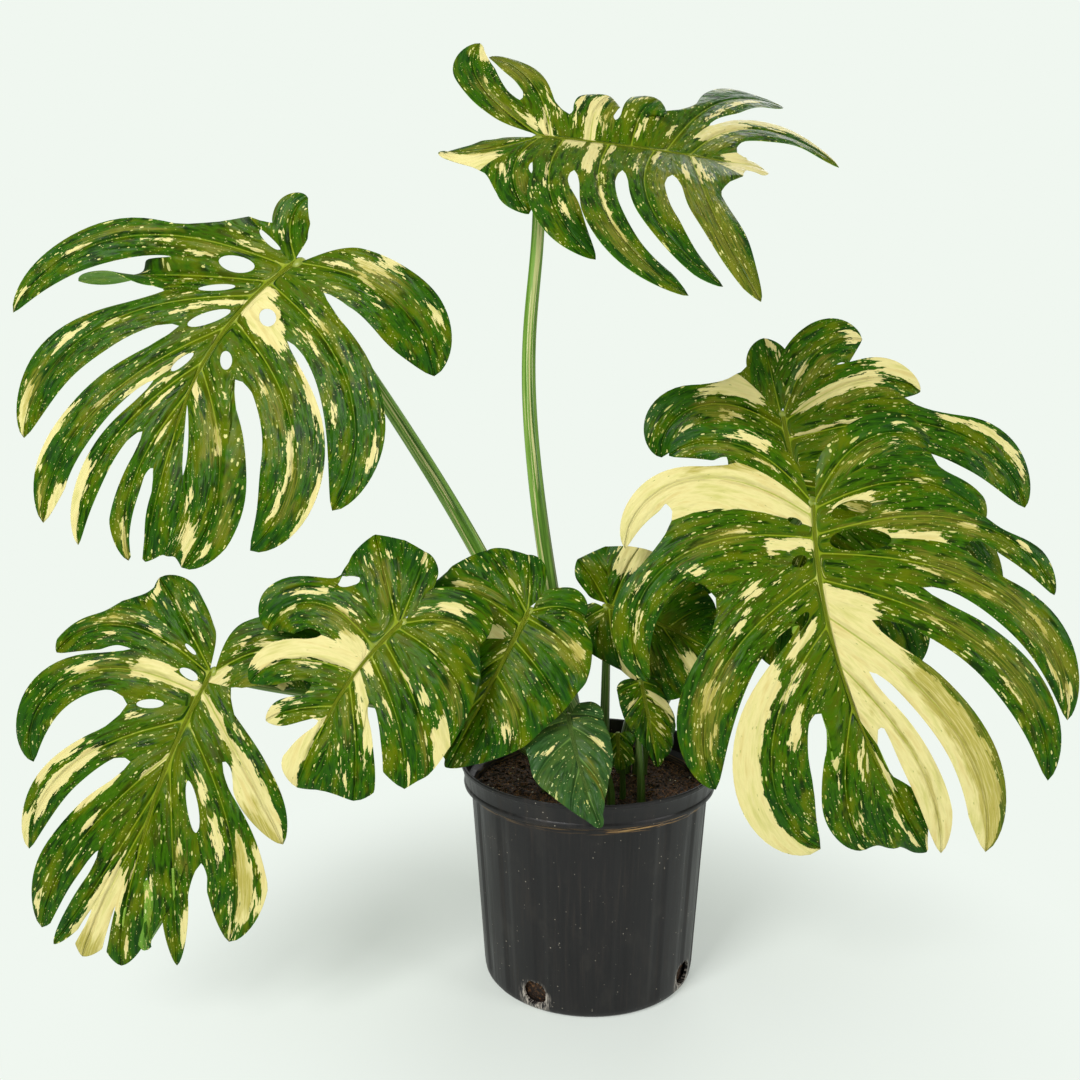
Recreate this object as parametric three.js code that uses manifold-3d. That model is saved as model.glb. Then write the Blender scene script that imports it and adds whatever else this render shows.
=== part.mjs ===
// Thai constellation monstera in a nursery pot: eleven leaves, each on its own stalk, in a filled pot.
// Millimetres, +Z up. The pot's axis is the Z axis and its base lies on Z = 0. The front looks to -Y.
import * as THREE from 'three';
import { mergeVertices } from 'three/addons/utils/BufferGeometryUtils.js';
import Module from 'manifold-3d';

const wasm = await Module();
wasm.setup();

// Pot, filled and free-standing.
const POT_HEIGHT = 240;
const POT_RIM_RADIUS = 140;
const POT_BODY_TOP_RADIUS = 129;
const POT_BASE_RADIUS = 115;
const POT_WALL = 2.6;
const POT_FLOOR = 4;
const POT_COLLAR_HEIGHT = 26;
const POT_SIDES = 54;
const POT_FLUTE_DEPTH = 1.5;
const DRAIN_RADIUS = 13;
const DRAIN_HEIGHT = 20;
const DRAIN_ANGLES = [-121, -31, 59, 149];

// Soil, and the space kept between any two pieces.
const SOIL_LEVEL = 207;
const SOIL_RELIEF = 3;
const GAP = 0.3;

// Stalks stand in plain holes of this depth below the soil level.
const ROOT_DEPTH = 60;
const STALK_RINGS = 10;

// Blades: sheet thickness and the keel under the midrib.
const BLADE_THICKNESS = 1.2;
const KEEL = 2.6;
const RIB_HALF_WIDTH = 2.2;
const VEIN_STEPS = 20;
const RIB_STEPS = 40;
const LOBE_RISE = 6;
const LOBE_DROOP = 22;
const LOBE_BROAD = 0.65;
const LOBE_NECK = 0.76;

// One entry per leaf. `joint` is where stalk and blade meet, `face` the azimuth and elevation the
// blade looks to, `heading` the way the midrib starts, turned in the blade from straight down.
// The midrib is `length` long, turns by `swerve` to the blade's right and bends by `bend` downwards.
// Lobes run from the left of the stalk round the tip to the right of it. A lobe leaves the midrib
// at the share `at` and the angle `angle`, is `length` long, sweeps by `sweep` towards the tip and
// is `half` wide to each side at its widest. `slit` is the share of its length where the cut to the
// next lobe begins, `slot` the width of that cut, and `hole` an opening [from, to, width] before it.
// `rows` are the rows of faces along a lobe, before and after the cuts begin.
// `stalk` holds where it stands in the soil, its radius there and at the blade, how far it rises and
// leans sideways before it turns to the blade, how far it reaches straight towards the blade, and how
// much of the blade's outlook it takes on where it arrives.
const LEAVES = [
  {
    name: 'upper_left', joint: [-303, 0, 769], face: [-95, 25],
    heading: -51, length: 353, swerve: -63, bend: 15, rows: [4, 4],
    stalk: { root: [-28, 6], radii: [10.5, 7.5], rise: 191, lean: -18, reach: 77, turn: 0.9 },
    lobes: [
      { at: 0, angle: -127, length: 202, sweep: 71, rise: 10, droop: 45, half: 36, slit: 0.22, slot: 6 },
      { at: 0.1, angle: -93, length: 278, sweep: 85, half: 30, slit: 0.23, slot: 8, hole: [0.06, 0.14, 17] },
      { at: 0.25, angle: -77, length: 274, sweep: 98, half: 32,
        slit: 0.19, slot: 22, hole: [0.05, 0.13, 15] },
      { at: 0.42, angle: -48, length: 219, sweep: 75, half: 32, slit: 0.93, slot: 4, hole: [0.03, 0.45, 7] },
      { at: 0.62, angle: 0, length: 133, sweep: 1, half: 18, slit: 0.39, slot: 16 },
      { at: 0.5, angle: 14, length: 184, sweep: 45, half: 19, slit: 0.36, slot: 14 },
      { at: 0.4, angle: 26, length: 233, sweep: 53, half: 14, slit: 0.27, slot: 10, hole: [0.09, 0.19, 14] },
      { at: 0.28, angle: 29, length: 285, sweep: 58, half: 25, slit: 0.21, slot: 20, hole: [0.03, 0.18, 17] },
      { at: 0.16, angle: 46, length: 307, sweep: 82, half: 27,
        slit: 0.38, slot: 6, hole: [0.1, 0.24, 13] },
      { at: 0.1, angle: 54, length: 243, sweep: 3, rise: -4, droop: 18, twist: 100, half: 21,
        slit: 0.42, slot: 4, hole: [0.09, 0.23, 17] },
      { at: 0.03, angle: 61, length: 332, sweep: 79, half: 23, slit: 0.32, slot: 8, hole: [0.09, 0.23, 11] },
      { at: 0, angle: 111, length: 70, sweep: -91, rise: 25, droop: 10, half: 21 },
    ],
  },
  {
    name: 'upper_middle', joint: [-56, 30, 898], face: [-88, 52],
    heading: 79, length: 272, swerve: -37, bend: 24, rows: [4, 4],
    stalk: { root: [-4, 14], radii: [10, 6.5], rise: 517, lean: -104, reach: 200, turn: 0.8 },
    lobes: [
      { at: 0, angle: -166, length: 145, sweep: 97, rise: 25, droop: 10, half: 23, slit: 0.35, slot: 6 },
      { at: 0.05, angle: -107, length: 133, sweep: -70, rise: 25, droop: 20, half: 17, slit: 0.3, slot: 10 },
      { at: 0.2, angle: -89, length: 75, sweep: 38, rise: 25, droop: 25, half: 25, slit: 0.4, slot: 8 },
      { at: 0.36, angle: -78, length: 86, sweep: 35, rise: 25, droop: 25, half: 25, slit: 0.35, slot: 8 },
      { at: 0.5, angle: -58, length: 314, sweep: 38, half: 25, slit: 0.3, slot: 8 },
      { at: 0.6, angle: -48, length: 270, sweep: 87, half: 25, slit: 0.3, slot: 8 },
      { at: 0.74, angle: 0, length: 66, sweep: 18, half: 17, slit: 0.3, slot: 8 },
      { at: 0.6, angle: 103, length: 236, sweep: 42, droop: 30, half: 25, slit: 0.25, slot: 16 },
      { at: 0.45, angle: 115, length: 239, sweep: 103, droop: 30, half: 23, slit: 0.25, slot: 14 },
      { at: 0.27, angle: 105, length: 259, sweep: 97, droop: 30, half: 25, slit: 0.3, slot: 14 },
      { at: 0.1, angle: 101, length: 202, sweep: 75, droop: 30, half: 24, slit: 0.35, slot: 10 },
      { at: 0.01, angle: 112, length: 130, sweep: 76, droop: 35, half: 23, slit: 0.7, slot: 4 },
      { at: 0, angle: 128, length: 123, sweep: -133, droop: 35, half: 19 },
    ],
  },
  {
    name: 'right_front', joint: [220, -60, 529], face: [-92, 20],
    heading: -1, length: 381, swerve: -41, bend: 22, rows: [4, 4],
    stalk: { root: [58, 26], radii: [8.5, 5.5], rise: 90, reach: 90, turn: 1 },
    lobes: [
      { at: 0, angle: -153, length: 156, sweep: 102, half: 23, slit: 0.8, slot: 3 },
      { at: 0.02, angle: -116, length: 190, sweep: 86, half: 27,
        slit: 0.75, slot: 4, hole: [0.07, 0.25, 17] },
      { at: 0.09, angle: -103, length: 271, sweep: 84, half: 19,
        slit: 0.48, slot: 6, hole: [0.04, 0.24, 24] },
      { at: 0.14, angle: -83, length: 330, sweep: 90, half: 23, slit: 0.31, slot: 14 },
      { at: 0.21, angle: -68, length: 323, sweep: 77, half: 23, slit: 0.16, slot: 20 },
      { at: 0.31, angle: -44, length: 294, sweep: 61, half: 26, slit: 0.17, slot: 14 },
      { at: 0.44, angle: -27, length: 219, sweep: 42, half: 17, slit: 0.18, slot: 6 },
      { at: 0.74, angle: 0, length: 98, sweep: 8, half: 25, slit: 0.94, slot: 3 },
      { at: 0.55, angle: 32, length: 150, sweep: 51, half: 25, slit: 0.24, slot: 10 },
      { at: 0.33, angle: 49, length: 256, sweep: 102, half: 38,
        slit: 0.13, slot: 10, hole: [0.07, 0.17, 12] },
      { at: 0.2, angle: 62, length: 259, sweep: 84, half: 29, slit: 0.4, slot: 16, hole: [0.03, 0.09, 12] },
      { at: 0.1, angle: 98, length: 284, sweep: 137, half: 24, slit: 0.56, slot: 10, hole: [0.04, 0.1, 7] },
      { at: 0.04, angle: 122, length: 232, sweep: 120, half: 17, slit: 0.44, slot: 5 },
      { at: 0, angle: 139, length: 167, sweep: 88, half: 21 },
    ],
  },
  {
    name: 'right_back', joint: [217, 80, 612], face: [-92, 20],
    heading: 8, length: 319, swerve: -13, bend: 20, rows: [4, 4],
    stalk: { root: [40, 30], radii: [8.5, 5], rise: 110, reach: 70, turn: 0.8 },
    lobes: [
      { at: 0, angle: -153, length: 141, sweep: 77, half: 32, slit: 0.55, slot: 4 },
      { at: 0.03, angle: -119, length: 170, sweep: 68, half: 27, slit: 0.58, slot: 4 },
      { at: 0.1, angle: -96, length: 305, sweep: 88, half: 32, slit: 0.4, slot: 8 },
      { at: 0.26, angle: -68, length: 275, sweep: 64, half: 36, slit: 0.4, slot: 8 },
      { at: 0.44, angle: -39, length: 194, sweep: 41, half: 36, slit: 0.5, slot: 6 },
      { at: 0.72, angle: 0, length: 90, sweep: 5, half: 32, slit: 0.5, slot: 6 },
      { at: 0.46, angle: 36, length: 147, sweep: 28, half: 36, slit: 0.4, slot: 8 },
      { at: 0.26, angle: 73, length: 166, sweep: 67, half: 36, slit: 0.4, slot: 8 },
      { at: 0.06, angle: 131, length: 178, sweep: 132, half: 34, slit: 0.55, slot: 6 },
      { at: 0, angle: 176, length: 93, sweep: -7, half: 25 },
    ],
  },
  {
    name: 'lower_left', joint: [-380, -95, 362], face: [-95, 22],
    heading: -26, length: 299, swerve: -23, bend: 14, rows: [4, 4],
    stalk: { root: [-44, -16], radii: [8, 5], rise: 90, reach: 90, turn: 0.8 },
    lobes: [
      { at: 0, angle: -149, length: 144, sweep: 127, half: 38, slit: 0.16, slot: 6 },
      { at: 0.07, angle: -60, length: 171, sweep: 10, half: 21, slit: 0.32, slot: 20 },
      { at: 0.18, angle: -55, length: 223, sweep: 52, half: 33,
        slit: 0.57, slot: 12, hole: [0.19, 0.43, 13] },
      { at: 0.32, angle: -27, length: 195, sweep: 9, half: 14, slit: 0.46, slot: 3, hole: [0.45, 0.9, 15] },
      { at: 0.6, angle: 0, length: 120, sweep: 10, half: 25, slit: 0.55, slot: 3 },
      { at: 0.52, angle: 12, length: 149, sweep: 3, half: 25, slit: 0.69, slot: 4 },
      { at: 0.42, angle: 12, length: 184, sweep: -14, half: 13, slit: 0.48, slot: 8 },
      { at: 0.3, angle: 29, length: 215, sweep: 35, half: 28, slit: 0.23, slot: 14 },
      { at: 0.18, angle: 54, length: 218, sweep: 74, half: 19, slit: 0.28, slot: 14, hole: [0.12, 0.24, 9] },
      { at: 0.08, angle: 88, length: 239, sweep: 133, half: 23, slit: 0.39, slot: 5, hole: [0.03, 0.13, 9] },
      { at: 0.01, angle: 102, length: 189, sweep: 90, half: 25, slit: 0.85, slot: 3, hole: [0.15, 0.25, 6] },
      { at: 0, angle: 123, length: 117, sweep: 10, half: 27 },
    ],
  },
  {
    name: 'middle_left', joint: [-186, -120, 419], face: [-92, 28],
    heading: -46, length: 186, swerve: -30, bend: 18, rows: [4, 4],
    stalk: { root: [-16, -22], radii: [7, 4.5], rise: 90, reach: 60, turn: 0.8 },
    lobes: [
      { at: 0, angle: -146, length: 82, sweep: 72, half: 36 },
      { at: 0.04, angle: -104, length: 115, sweep: 59, half: 36 },
      { at: 0.14, angle: -74, length: 135, sweep: 31, half: 36 },
      { at: 0.24, angle: -68, length: 132, sweep: 36, half: 32, slit: 0.27, slot: 10 },
      { at: 0.42, angle: -45, length: 110, sweep: 22, half: 32, slit: 0.94, slot: 3 },
      { at: 0.66, angle: 0, length: 65, sweep: 8, half: 23, slit: 0.15, slot: 6 },
      { at: 0.56, angle: 59, length: 69, sweep: 28, half: 13, slit: 0.33, slot: 10 },
      { at: 0.36, angle: 75, length: 113, sweep: 72, half: 21, slit: 0.39, slot: 8 },
      { at: 0.2, angle: 102, length: 136, sweep: 123, half: 36, slit: 0.68, slot: 4, hole: [0.52, 0.66, 21] },
      { at: 0.03, angle: 119, length: 98, sweep: 2, half: 36 },
      { at: 0, angle: 153, length: 74, sweep: 10, half: 19 },
    ],
  },
  {
    name: 'middle', joint: [-64, -82, 422], face: [-95, 32],
    heading: -24, length: 174, swerve: 5, bend: 22, rows: [3, 3],
    stalk: { root: [6, -34], radii: [7, 4.5], rise: 70, reach: 50, turn: 0.8 },
    lobes: [
      { at: 0, angle: -130, length: 56, sweep: 58, half: 21 },
      { at: 0.05, angle: -85, length: 88, sweep: 43, half: 27 },
      { at: 0.2, angle: -67, length: 85, sweep: 19, half: 27 },
      { at: 0.42, angle: -61, length: 77, sweep: 45, half: 27 },
      { at: 0.7, angle: 0, length: 54, sweep: -3, half: 23 },
      { at: 0.55, angle: 17, length: 67, sweep: 18, half: 21 },
      { at: 0.3, angle: 31, length: 41, sweep: 21, half: 21, slit: 0.4, slot: 8 },
      { at: 0.1, angle: 105, length: 122, sweep: 79, half: 32 },
      { at: 0.02, angle: 127, length: 82, sweep: 11, half: 27 },
      { at: 0, angle: 159, length: 61, sweep: 17, half: 17 },
    ],
  },
  {
    name: 'middle_right', joint: [16, -20, 413], face: [-98, 22],
    heading: 77, length: 126, swerve: 16, bend: 16, rows: [3, 3],
    stalk: { root: [16, -2], radii: [6, 4], rise: 80, reach: 40, turn: 0.6 },
    lobes: [
      { at: 0, angle: -132, length: 57, sweep: -17, rise: 20, half: 15 },
      { at: 0.05, angle: -85, length: 68, sweep: 13, rise: 15, half: 19 },
      { at: 0.3, angle: -70, length: 72, sweep: 18, half: 21 },
      { at: 0.55, angle: -61, length: 56, sweep: 39, half: 17 },
      { at: 0.75, angle: 0, length: 33, sweep: 1, half: 15 },
      { at: 0.5, angle: 33, length: 81, sweep: -7, half: 19 },
      { at: 0.25, angle: 55, length: 93, sweep: 13, half: 21 },
      { at: 0.03, angle: 70, length: 67, sweep: 18, droop: 35, half: 17 },
      { at: 0, angle: 139, length: 34, sweep: 18, half: 13 },
    ],
  },
  {
    name: 'small_front', joint: [-26, -108, 322], face: [-90, 48],
    heading: 7, length: 117, swerve: -16, bend: 18, rows: [2, 3],
    stalk: { root: [20, -64], radii: [4.5, 3], rise: 50, reach: 25, turn: 0.6 },
    lobes: [
      { at: 0, angle: -84, length: 33, sweep: 26, half: 15 },
      { at: 0.12, angle: -49, length: 54, sweep: 33, half: 17 },
      { at: 0.4, angle: -28, length: 47, sweep: 27, half: 17 },
      { at: 0.7, angle: 0, length: 35, sweep: 6, half: 13 },
      { at: 0.5, angle: 32, length: 41, sweep: 18, half: 17 },
      { at: 0.22, angle: 58, length: 56, sweep: 26, half: 21 },
      { at: 0.05, angle: 79, length: 48, sweep: 32, half: 21 },
      { at: 0, angle: 133, length: 24, sweep: 16, half: 13 },
    ],
  },
  {
    name: 'small_right', joint: [50, -62, 342], face: [-70, 15],
    heading: 7, length: 91, swerve: -5, bend: 16, rows: [2, 3],
    stalk: { root: [52, -58], radii: [4.5, 3], rise: 50, reach: 30, turn: 0.6 },
    lobes: [
      { at: 0, angle: -62, length: 23, sweep: 17, half: 10 },
      { at: 0.15, angle: -46, length: 46, sweep: 22, half: 13 },
      { at: 0.45, angle: -34, length: 41, sweep: 17, half: 10 },
      { at: 0.72, angle: 0, length: 26, sweep: 4, half: 8 },
      { at: 0.45, angle: 19, length: 29, sweep: 14, half: 10 },
      { at: 0.15, angle: 57, length: 31, sweep: 19, half: 13 },
      { at: 0, angle: 86, length: 26, sweep: 15, half: 8 },
    ],
  },
  {
    name: 'small_inner', joint: [27, -55, 285], face: [-100, 30],
    heading: 6, length: 36, swerve: 0, bend: 10, rows: [2, 2],
    stalk: { root: [34, -42], radii: [3.5, 2.2], rise: 40, reach: 15, turn: 0.5 },
    lobes: [
      { at: 0, angle: -49, length: 18, sweep: 16, half: 8 },
      { at: 0.3, angle: -43, length: 24, sweep: 18, half: 8 },
      { at: 0.7, angle: 0, length: 13, sweep: 3, half: 7 },
      { at: 0.3, angle: 36, length: 21, sweep: 17, half: 8 },
      { at: 0, angle: 45, length: 15, sweep: 16, half: 7 },
    ],
  },
];

const radians = THREE.MathUtils.degToRad;
const vector = (x, y, z) => new THREE.Vector3(x, y, z);
const smooth = (x) => THREE.MathUtils.smoothstep(x, 0, 1);

/** a*x + b*y for two directions, as a new vector. */
function blend(a, x, b, y) {
  return a.clone().multiplyScalar(x).addScaledVector(b, y);
}

/** The midrib: a function giving point, heading T, right side S and outlook N at a share of it. */
function midrib(leaf) {
  const [azimuth, elevation] = leaf.face.map(radians);
  const heading = radians(leaf.heading);
  const N = vector(
    Math.cos(elevation) * Math.cos(azimuth),
    Math.cos(elevation) * Math.sin(azimuth),
    Math.sin(elevation),
  );
  const down = vector(0, 0, -1).addScaledVector(N, N.z).normalize();
  const across = N.clone().cross(down);
  const T = blend(down, Math.cos(heading), across, Math.sin(heading));
  const S = T.clone().cross(N);
  const axes = (u) => {
    const turn = radians(leaf.swerve) * u;
    const bend = radians(leaf.bend) * u;
    const T1 = blend(T, Math.cos(turn), S, Math.sin(turn));
    const S1 = blend(T, -Math.sin(turn), S, Math.cos(turn));
    return {
      T: blend(T1, Math.cos(bend), N, -Math.sin(bend)),
      S: S1,
      N: blend(T1, Math.sin(bend), N, Math.cos(bend)),
    };
  };
  const points = [vector(...leaf.joint)];
  for (let i = 0; i < RIB_STEPS; i += 1) {
    const step = axes((i + 0.5) / RIB_STEPS).T;
    points.push(points[i].clone().addScaledVector(step, leaf.length / RIB_STEPS));
  }
  return (u) => {
    const x = THREE.MathUtils.clamp(u, 0, 1) * RIB_STEPS;
    const i = Math.min(RIB_STEPS - 1, Math.floor(x));
    return { point: points[i].clone().lerp(points[i + 1], x - i), ...axes(u) };
  };
}

/** The side of the midrib where lobes on `side` (-1 left, 0 tip, 1 right) take root. */
function rootOn(rib, side, at) {
  const { point, S } = rib(at);
  return point.addScaledVector(S, side * RIB_HALF_WIDTH * (1 - 0.75 * at));
}

/** The middle vein of a lobe: a function giving point, direction along, across and out of it. */
function vein(rib, lobe) {
  const side = Math.sign(lobe.angle);
  const hand = side || 1;
  const { T, S, N } = rib(lobe.at);
  const start = radians(Math.abs(lobe.angle));
  const sweep = radians(lobe.sweep);
  const rise = radians(lobe.rise ?? LOBE_RISE);
  const droop = radians(lobe.droop ?? LOBE_DROOP);
  const twist = radians(lobe.twist ?? 0);
  const axes = (t) => {
    const azimuth = start - sweep * t ** 1.8;
    const slope = rise - droop * t ** 1.3;
    const flat = blend(T, Math.cos(azimuth), S, hand * Math.sin(azimuth));
    const side2 = blend(T, Math.sin(azimuth), S, -hand * Math.cos(azimuth));
    const out = blend(flat, -Math.sin(slope), N, Math.cos(slope));
    return {
      along: blend(flat, Math.cos(slope), N, Math.sin(slope)),
      across: blend(side2, Math.cos(twist * t), out, Math.sin(twist * t)),
      out: blend(side2, -Math.sin(twist * t), out, Math.cos(twist * t)),
    };
  };
  const points = [rootOn(rib, side, lobe.at)];
  for (let i = 0; i < VEIN_STEPS; i += 1) {
    const step = axes((i + 0.5) / VEIN_STEPS).along;
    points.push(points[i].clone().addScaledVector(step, lobe.length / VEIN_STEPS));
  }
  const at = (t) => {
    const x = THREE.MathUtils.clamp(t, 0, 1) * VEIN_STEPS;
    const i = Math.min(VEIN_STEPS - 1, Math.floor(x));
    return { point: points[i].clone().lerp(points[i + 1], x - i), ...axes(t) };
  };
  return { side, lobe, root: points[0], at };
}

/** The line half way between two neighbouring veins. */
function seam(rib, a, b, t) {
  const root = rootOn(rib, a.side || b.side, (a.lobe.at + b.lobe.at) / 2);
  const alongA = a.at(t).point.sub(a.root);
  const alongB = b.at(t).point.sub(b.root);
  const reach = (alongA.length() + alongB.length()) / 2;
  return root.addScaledVector(alongA.normalize().add(alongB.normalize()).normalize(), reach);
}

/** Shares along a boundary, one per row, so that holes and cuts begin and end on a row. */
function rowShares([inner, outer], slit, hole) {
  const rows = inner + outer;
  if (slit >= 1) return Array.from({ length: rows + 1 }, (_, i) => i / rows);
  const shares = [];
  for (let i = 0; i <= inner; i += 1) {
    if (!hole) {
      shares.push((slit * i) / inner);
    } else if (i === 0) {
      shares.push(0);
    } else if (i < inner) {
      const x = (i - 1) / (inner - 2);
      shares.push(hole[0] + ((hole[1] - hole[0]) * (1 - Math.cos(Math.PI * x))) / 2);
    } else {
      shares.push(slit);
    }
  }
  for (let i = 1; i <= outer; i += 1) {
    const x = i / outer;
    shares.push(slit + (1 - slit) * (0.45 * x ** 1.7 + 0.55 * (1 - (1 - x) ** 1.9)));
  }
  return shares;
}

/** Half width of a lobe at share t: widest at LOBE_BROAD, then rounded off to a small point. */
function halfWidth(v, t) {
  if (t < LOBE_BROAD) return v.lobe.half * (LOBE_NECK + (1 - LOBE_NECK) * smooth(t / LOBE_BROAD));
  const x = (t - LOBE_BROAD) / (1 - LOBE_BROAD);
  return v.lobe.half * Math.max(0, 1 - x ** 2) ** 0.72;
}

/** Direction from a lobe's vein to its edge with the lobe before it (-1) or after it (1) in the list. */
function edgeSide(v, which, t) {
  return v.at(t).across.multiplyScalar(-which * (v.side || 1));
}

/** Rows of the boundary between two lobes, or of the free edge where one of them is missing. */
function boundary(rib, rows, a, b) {
  if (!a || !b) {
    const v = a || b;
    return rowShares(rows, 0.3).map((t, i) => {
      const width = halfWidth(v, t) * smooth(t / 0.3) ** 0.6;
      const out = edgeSide(v, a ? 1 : -1, t);
      const point = i === 0 ? v.root.clone() : v.at(t).point.addScaledVector(out, width);
      return { t, before: point, after: point };
    });
  }
  const { slit = 1, slot = 6, hole } = a.lobe;
  return rowShares(rows, slit, hole).map((t, i) => {
    const middle = seam(rib, a, b, t);
    const inHole = hole && i > 1 && i < rows[0] - 1;
    if (inHole) {
      const wide = hole[2] / 2;
      const before = middle.clone().addScaledVector(a.at(t).point.sub(middle).normalize(), wide);
      const after = middle.clone().addScaledVector(b.at(t).point.sub(middle).normalize(), wide);
      return { t, before, after };
    }
    if (slit >= 1 || i <= rows[0]) return { t, before: middle, after: middle };
    const opened = Math.sqrt(Math.min(1, (t - slit) / Math.min(0.1, 1 - slit)));
    const edge = (v, which) => {
      const { point } = v.at(t);
      const towards = middle.clone().sub(point);
      const room = Math.max(towards.length() - slot / 2, towards.length() * 0.35);
      const own = smooth((t - slit) / (0.6 * (1 - slit)));
      const heading = blend(towards.normalize(), 1 - own, edgeSide(v, which, t), own).normalize();
      const tip = point.addScaledVector(heading, Math.min(halfWidth(v, t), room));
      return middle.clone().lerp(tip, opened);
    };
    return { t, before: edge(a, 1), after: edge(b, -1) };
  });
}

/** The middle surface of a blade as points and triangles, with a keel depth for every point. */
function bladeSurface(leaf) {
  const rib = midrib(leaf);
  const veins = leaf.lobes.map((lobe) => vein(rib, lobe));
  const count = veins.length;
  const rows = leaf.rows[0] + leaf.rows[1];
  const points = [];
  const keel = [];
  const triangles = [];
  const places = new Map();
  const add = (point, depth = 0) => {
    const key = point.toArray().map((c) => Math.round(c * 200)).join(' ');
    if (!places.has(key)) {
      places.set(key, points.length);
      points.push(point);
      keel.push(depth);
    }
    return places.get(key);
  };
  const face = (a, b, c) => {
    if (a !== b && b !== c && c !== a) triangles.push([a, b, c]);
  };
  const rootLines = { '-1': new Map(), 1: new Map() };
  const rootPoint = (side, at) => {
    const index = add(rootOn(rib, side, at), KEEL * (1 - 0.8 * at));
    if (side !== 0) rootLines[side].set(at, index);
    return index;
  };
  const edges = [];
  for (let k = 0; k <= count; k += 1) edges.push(boundary(rib, leaf.rows, veins[k - 1], veins[k]));
  veins.forEach((v, k) => {
    const before = k > 0 ? (veins[k - 1].lobe.at + v.lobe.at) / 2 : v.lobe.at;
    const after = k < count - 1 ? (veins[k + 1].lobe.at + v.lobe.at) / 2 : v.lobe.at;
    let last = [
      rootPoint(v.side || -1, before),
      rootPoint(v.side, v.lobe.at),
      rootPoint(v.side || 1, after),
    ];
    for (let i = 1; i <= rows; i += 1) {
      const near = edges[k][i];
      const far = edges[k + 1][i];
      const next = [add(near.after), add(v.at((near.t + far.t) / 2).point), add(far.before)];
      for (let j = 0; j < 2; j += 1) {
        face(last[j], last[j + 1], next[j + 1]);
        face(last[j], next[j + 1], next[j]);
      }
      last = next;
    }
  });
  const tipAt = veins.find((v) => v.side === 0).lobe.at;
  const tip = rootPoint(0, tipAt);
  const [left, right] = [-1, 1].map((side) => {
    const line = [...rootLines[side]].sort((p, q) => p[0] - q[0]);
    return [...line, [tipAt, tip]];
  });
  let i = 0;
  let j = 0;
  while (i < left.length - 1 || j < right.length - 1) {
    const stepLeft = j >= right.length - 1 || (i < left.length - 1 && left[i + 1][0] <= right[j + 1][0]);
    if (stepLeft) {
      face(left[i][1], right[j][1], left[i + 1][1]);
      i += 1;
    } else {
      face(left[i][1], right[j][1], right[j + 1][1]);
      j += 1;
    }
  }
  return { points, keel, triangles, rib };
}

/** A closed solid from indexed points, as a manifold. */
function solid(points, triangles) {
  const vertProperties = new Float32Array(points.flatMap((p) => [p.x, p.y, p.z]));
  const mesh = new wasm.Mesh({ numProp: 3, vertProperties, triVerts: new Uint32Array(triangles.flat()) });
  return new wasm.Manifold(mesh);
}

/** A manifold from a three.js geometry whose seams are closed by position. */
function solidFrom(geometry) {
  const bare = geometry.index ? geometry.toNonIndexed() : geometry.clone();
  for (const name of Object.keys(bare.attributes)) {
    if (name !== 'position') bare.deleteAttribute(name);
  }
  const merged = mergeVertices(bare, 1e-4);
  const index = merged.index.array;
  const kept = [];
  for (let i = 0; i < index.length; i += 3) {
    const [a, b, c] = index.slice(i, i + 3);
    if (a !== b && b !== c && c !== a) kept.push(a, b, c);
  }
  const vertProperties = new Float32Array(merged.attributes.position.array);
  return new wasm.Manifold(new wasm.Mesh({ numProp: 3, vertProperties, triVerts: new Uint32Array(kept) }));
}

/** A three.js mesh from a manifold. */
function meshFrom(manifold, name, material) {
  const { numProp, vertProperties, triVerts } = manifold.getMesh();
  const positions = [];
  for (const index of triVerts) {
    positions.push(...vertProperties.slice(index * numProp, index * numProp + 3));
  }
  const geometry = new THREE.BufferGeometry();
  geometry.setAttribute('position', new THREE.Float32BufferAttribute(positions, 3));
  geometry.computeVertexNormals();
  const mesh = new THREE.Mesh(geometry, material);
  mesh.name = name;
  return mesh;
}

/** The middle surface thickened to both sides, with walls round every open edge. */
function thicken({ points, keel, triangles }) {
  const normals = points.map(() => vector(0, 0, 0));
  const edgeUse = new Map();
  triangles.forEach(([a, b, c]) => {
    const normal = points[b].clone().sub(points[a]).cross(points[c].clone().sub(points[a]));
    [a, b, c].forEach((index) => normals[index].add(normal));
    [[a, b], [b, c], [c, a]].forEach(([p, q]) => {
      const key = `${Math.min(p, q)} ${Math.max(p, q)}`;
      edgeUse.set(key, edgeUse.has(key) ? null : [p, q]);
    });
  });
  normals.forEach((normal) => normal.normalize());
  const half = BLADE_THICKNESS / 2;
  const upper = points.map((p, i) => p.clone().addScaledVector(normals[i], half));
  const lower = points.map((p, i) => p.clone().addScaledVector(normals[i], -half - keel[i]));
  const count = points.length;
  const faces = [];
  triangles.forEach(([a, b, c]) => faces.push([a, b, c], [a + count, c + count, b + count]));
  edgeUse.forEach((edge) => {
    if (!edge) return;
    const [p, q] = edge;
    faces.push([p, p + count, q + count], [p, q + count, q]);
  });
  return solid([...upper, ...lower], faces);
}

/** A straight round bar from one point towards another. */
function bar(from, direction, length, radius, sides) {
  const geometry = new THREE.CylinderGeometry(radius, radius, length, sides);
  geometry.translate(0, length / 2, 0);
  const turn = new THREE.Quaternion().setFromUnitVectors(vector(0, 1, 0), direction);
  geometry.applyQuaternion(turn);
  geometry.translate(from.x, from.y, from.z);
  return solidFrom(geometry);
}

/** Where a stalk ends under its blade and the direction it arrives in. */
function arrival(leaf) {
  const { N } = midrib(leaf)(0);
  const joint = vector(...leaf.joint);
  const [x, y] = leaf.stalk.root;
  const chord = joint.clone().sub(vector(x, y, SOIL_LEVEL)).normalize();
  const direction = chord.addScaledVector(N, leaf.stalk.turn).normalize();
  const radius = leaf.stalk.radii[1];
  const knuckle = joint.addScaledVector(N, -radius * 0.5);
  const end = knuckle.clone().addScaledVector(direction, -radius * 3);
  return { direction, knuckle, end, radius };
}

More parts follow.
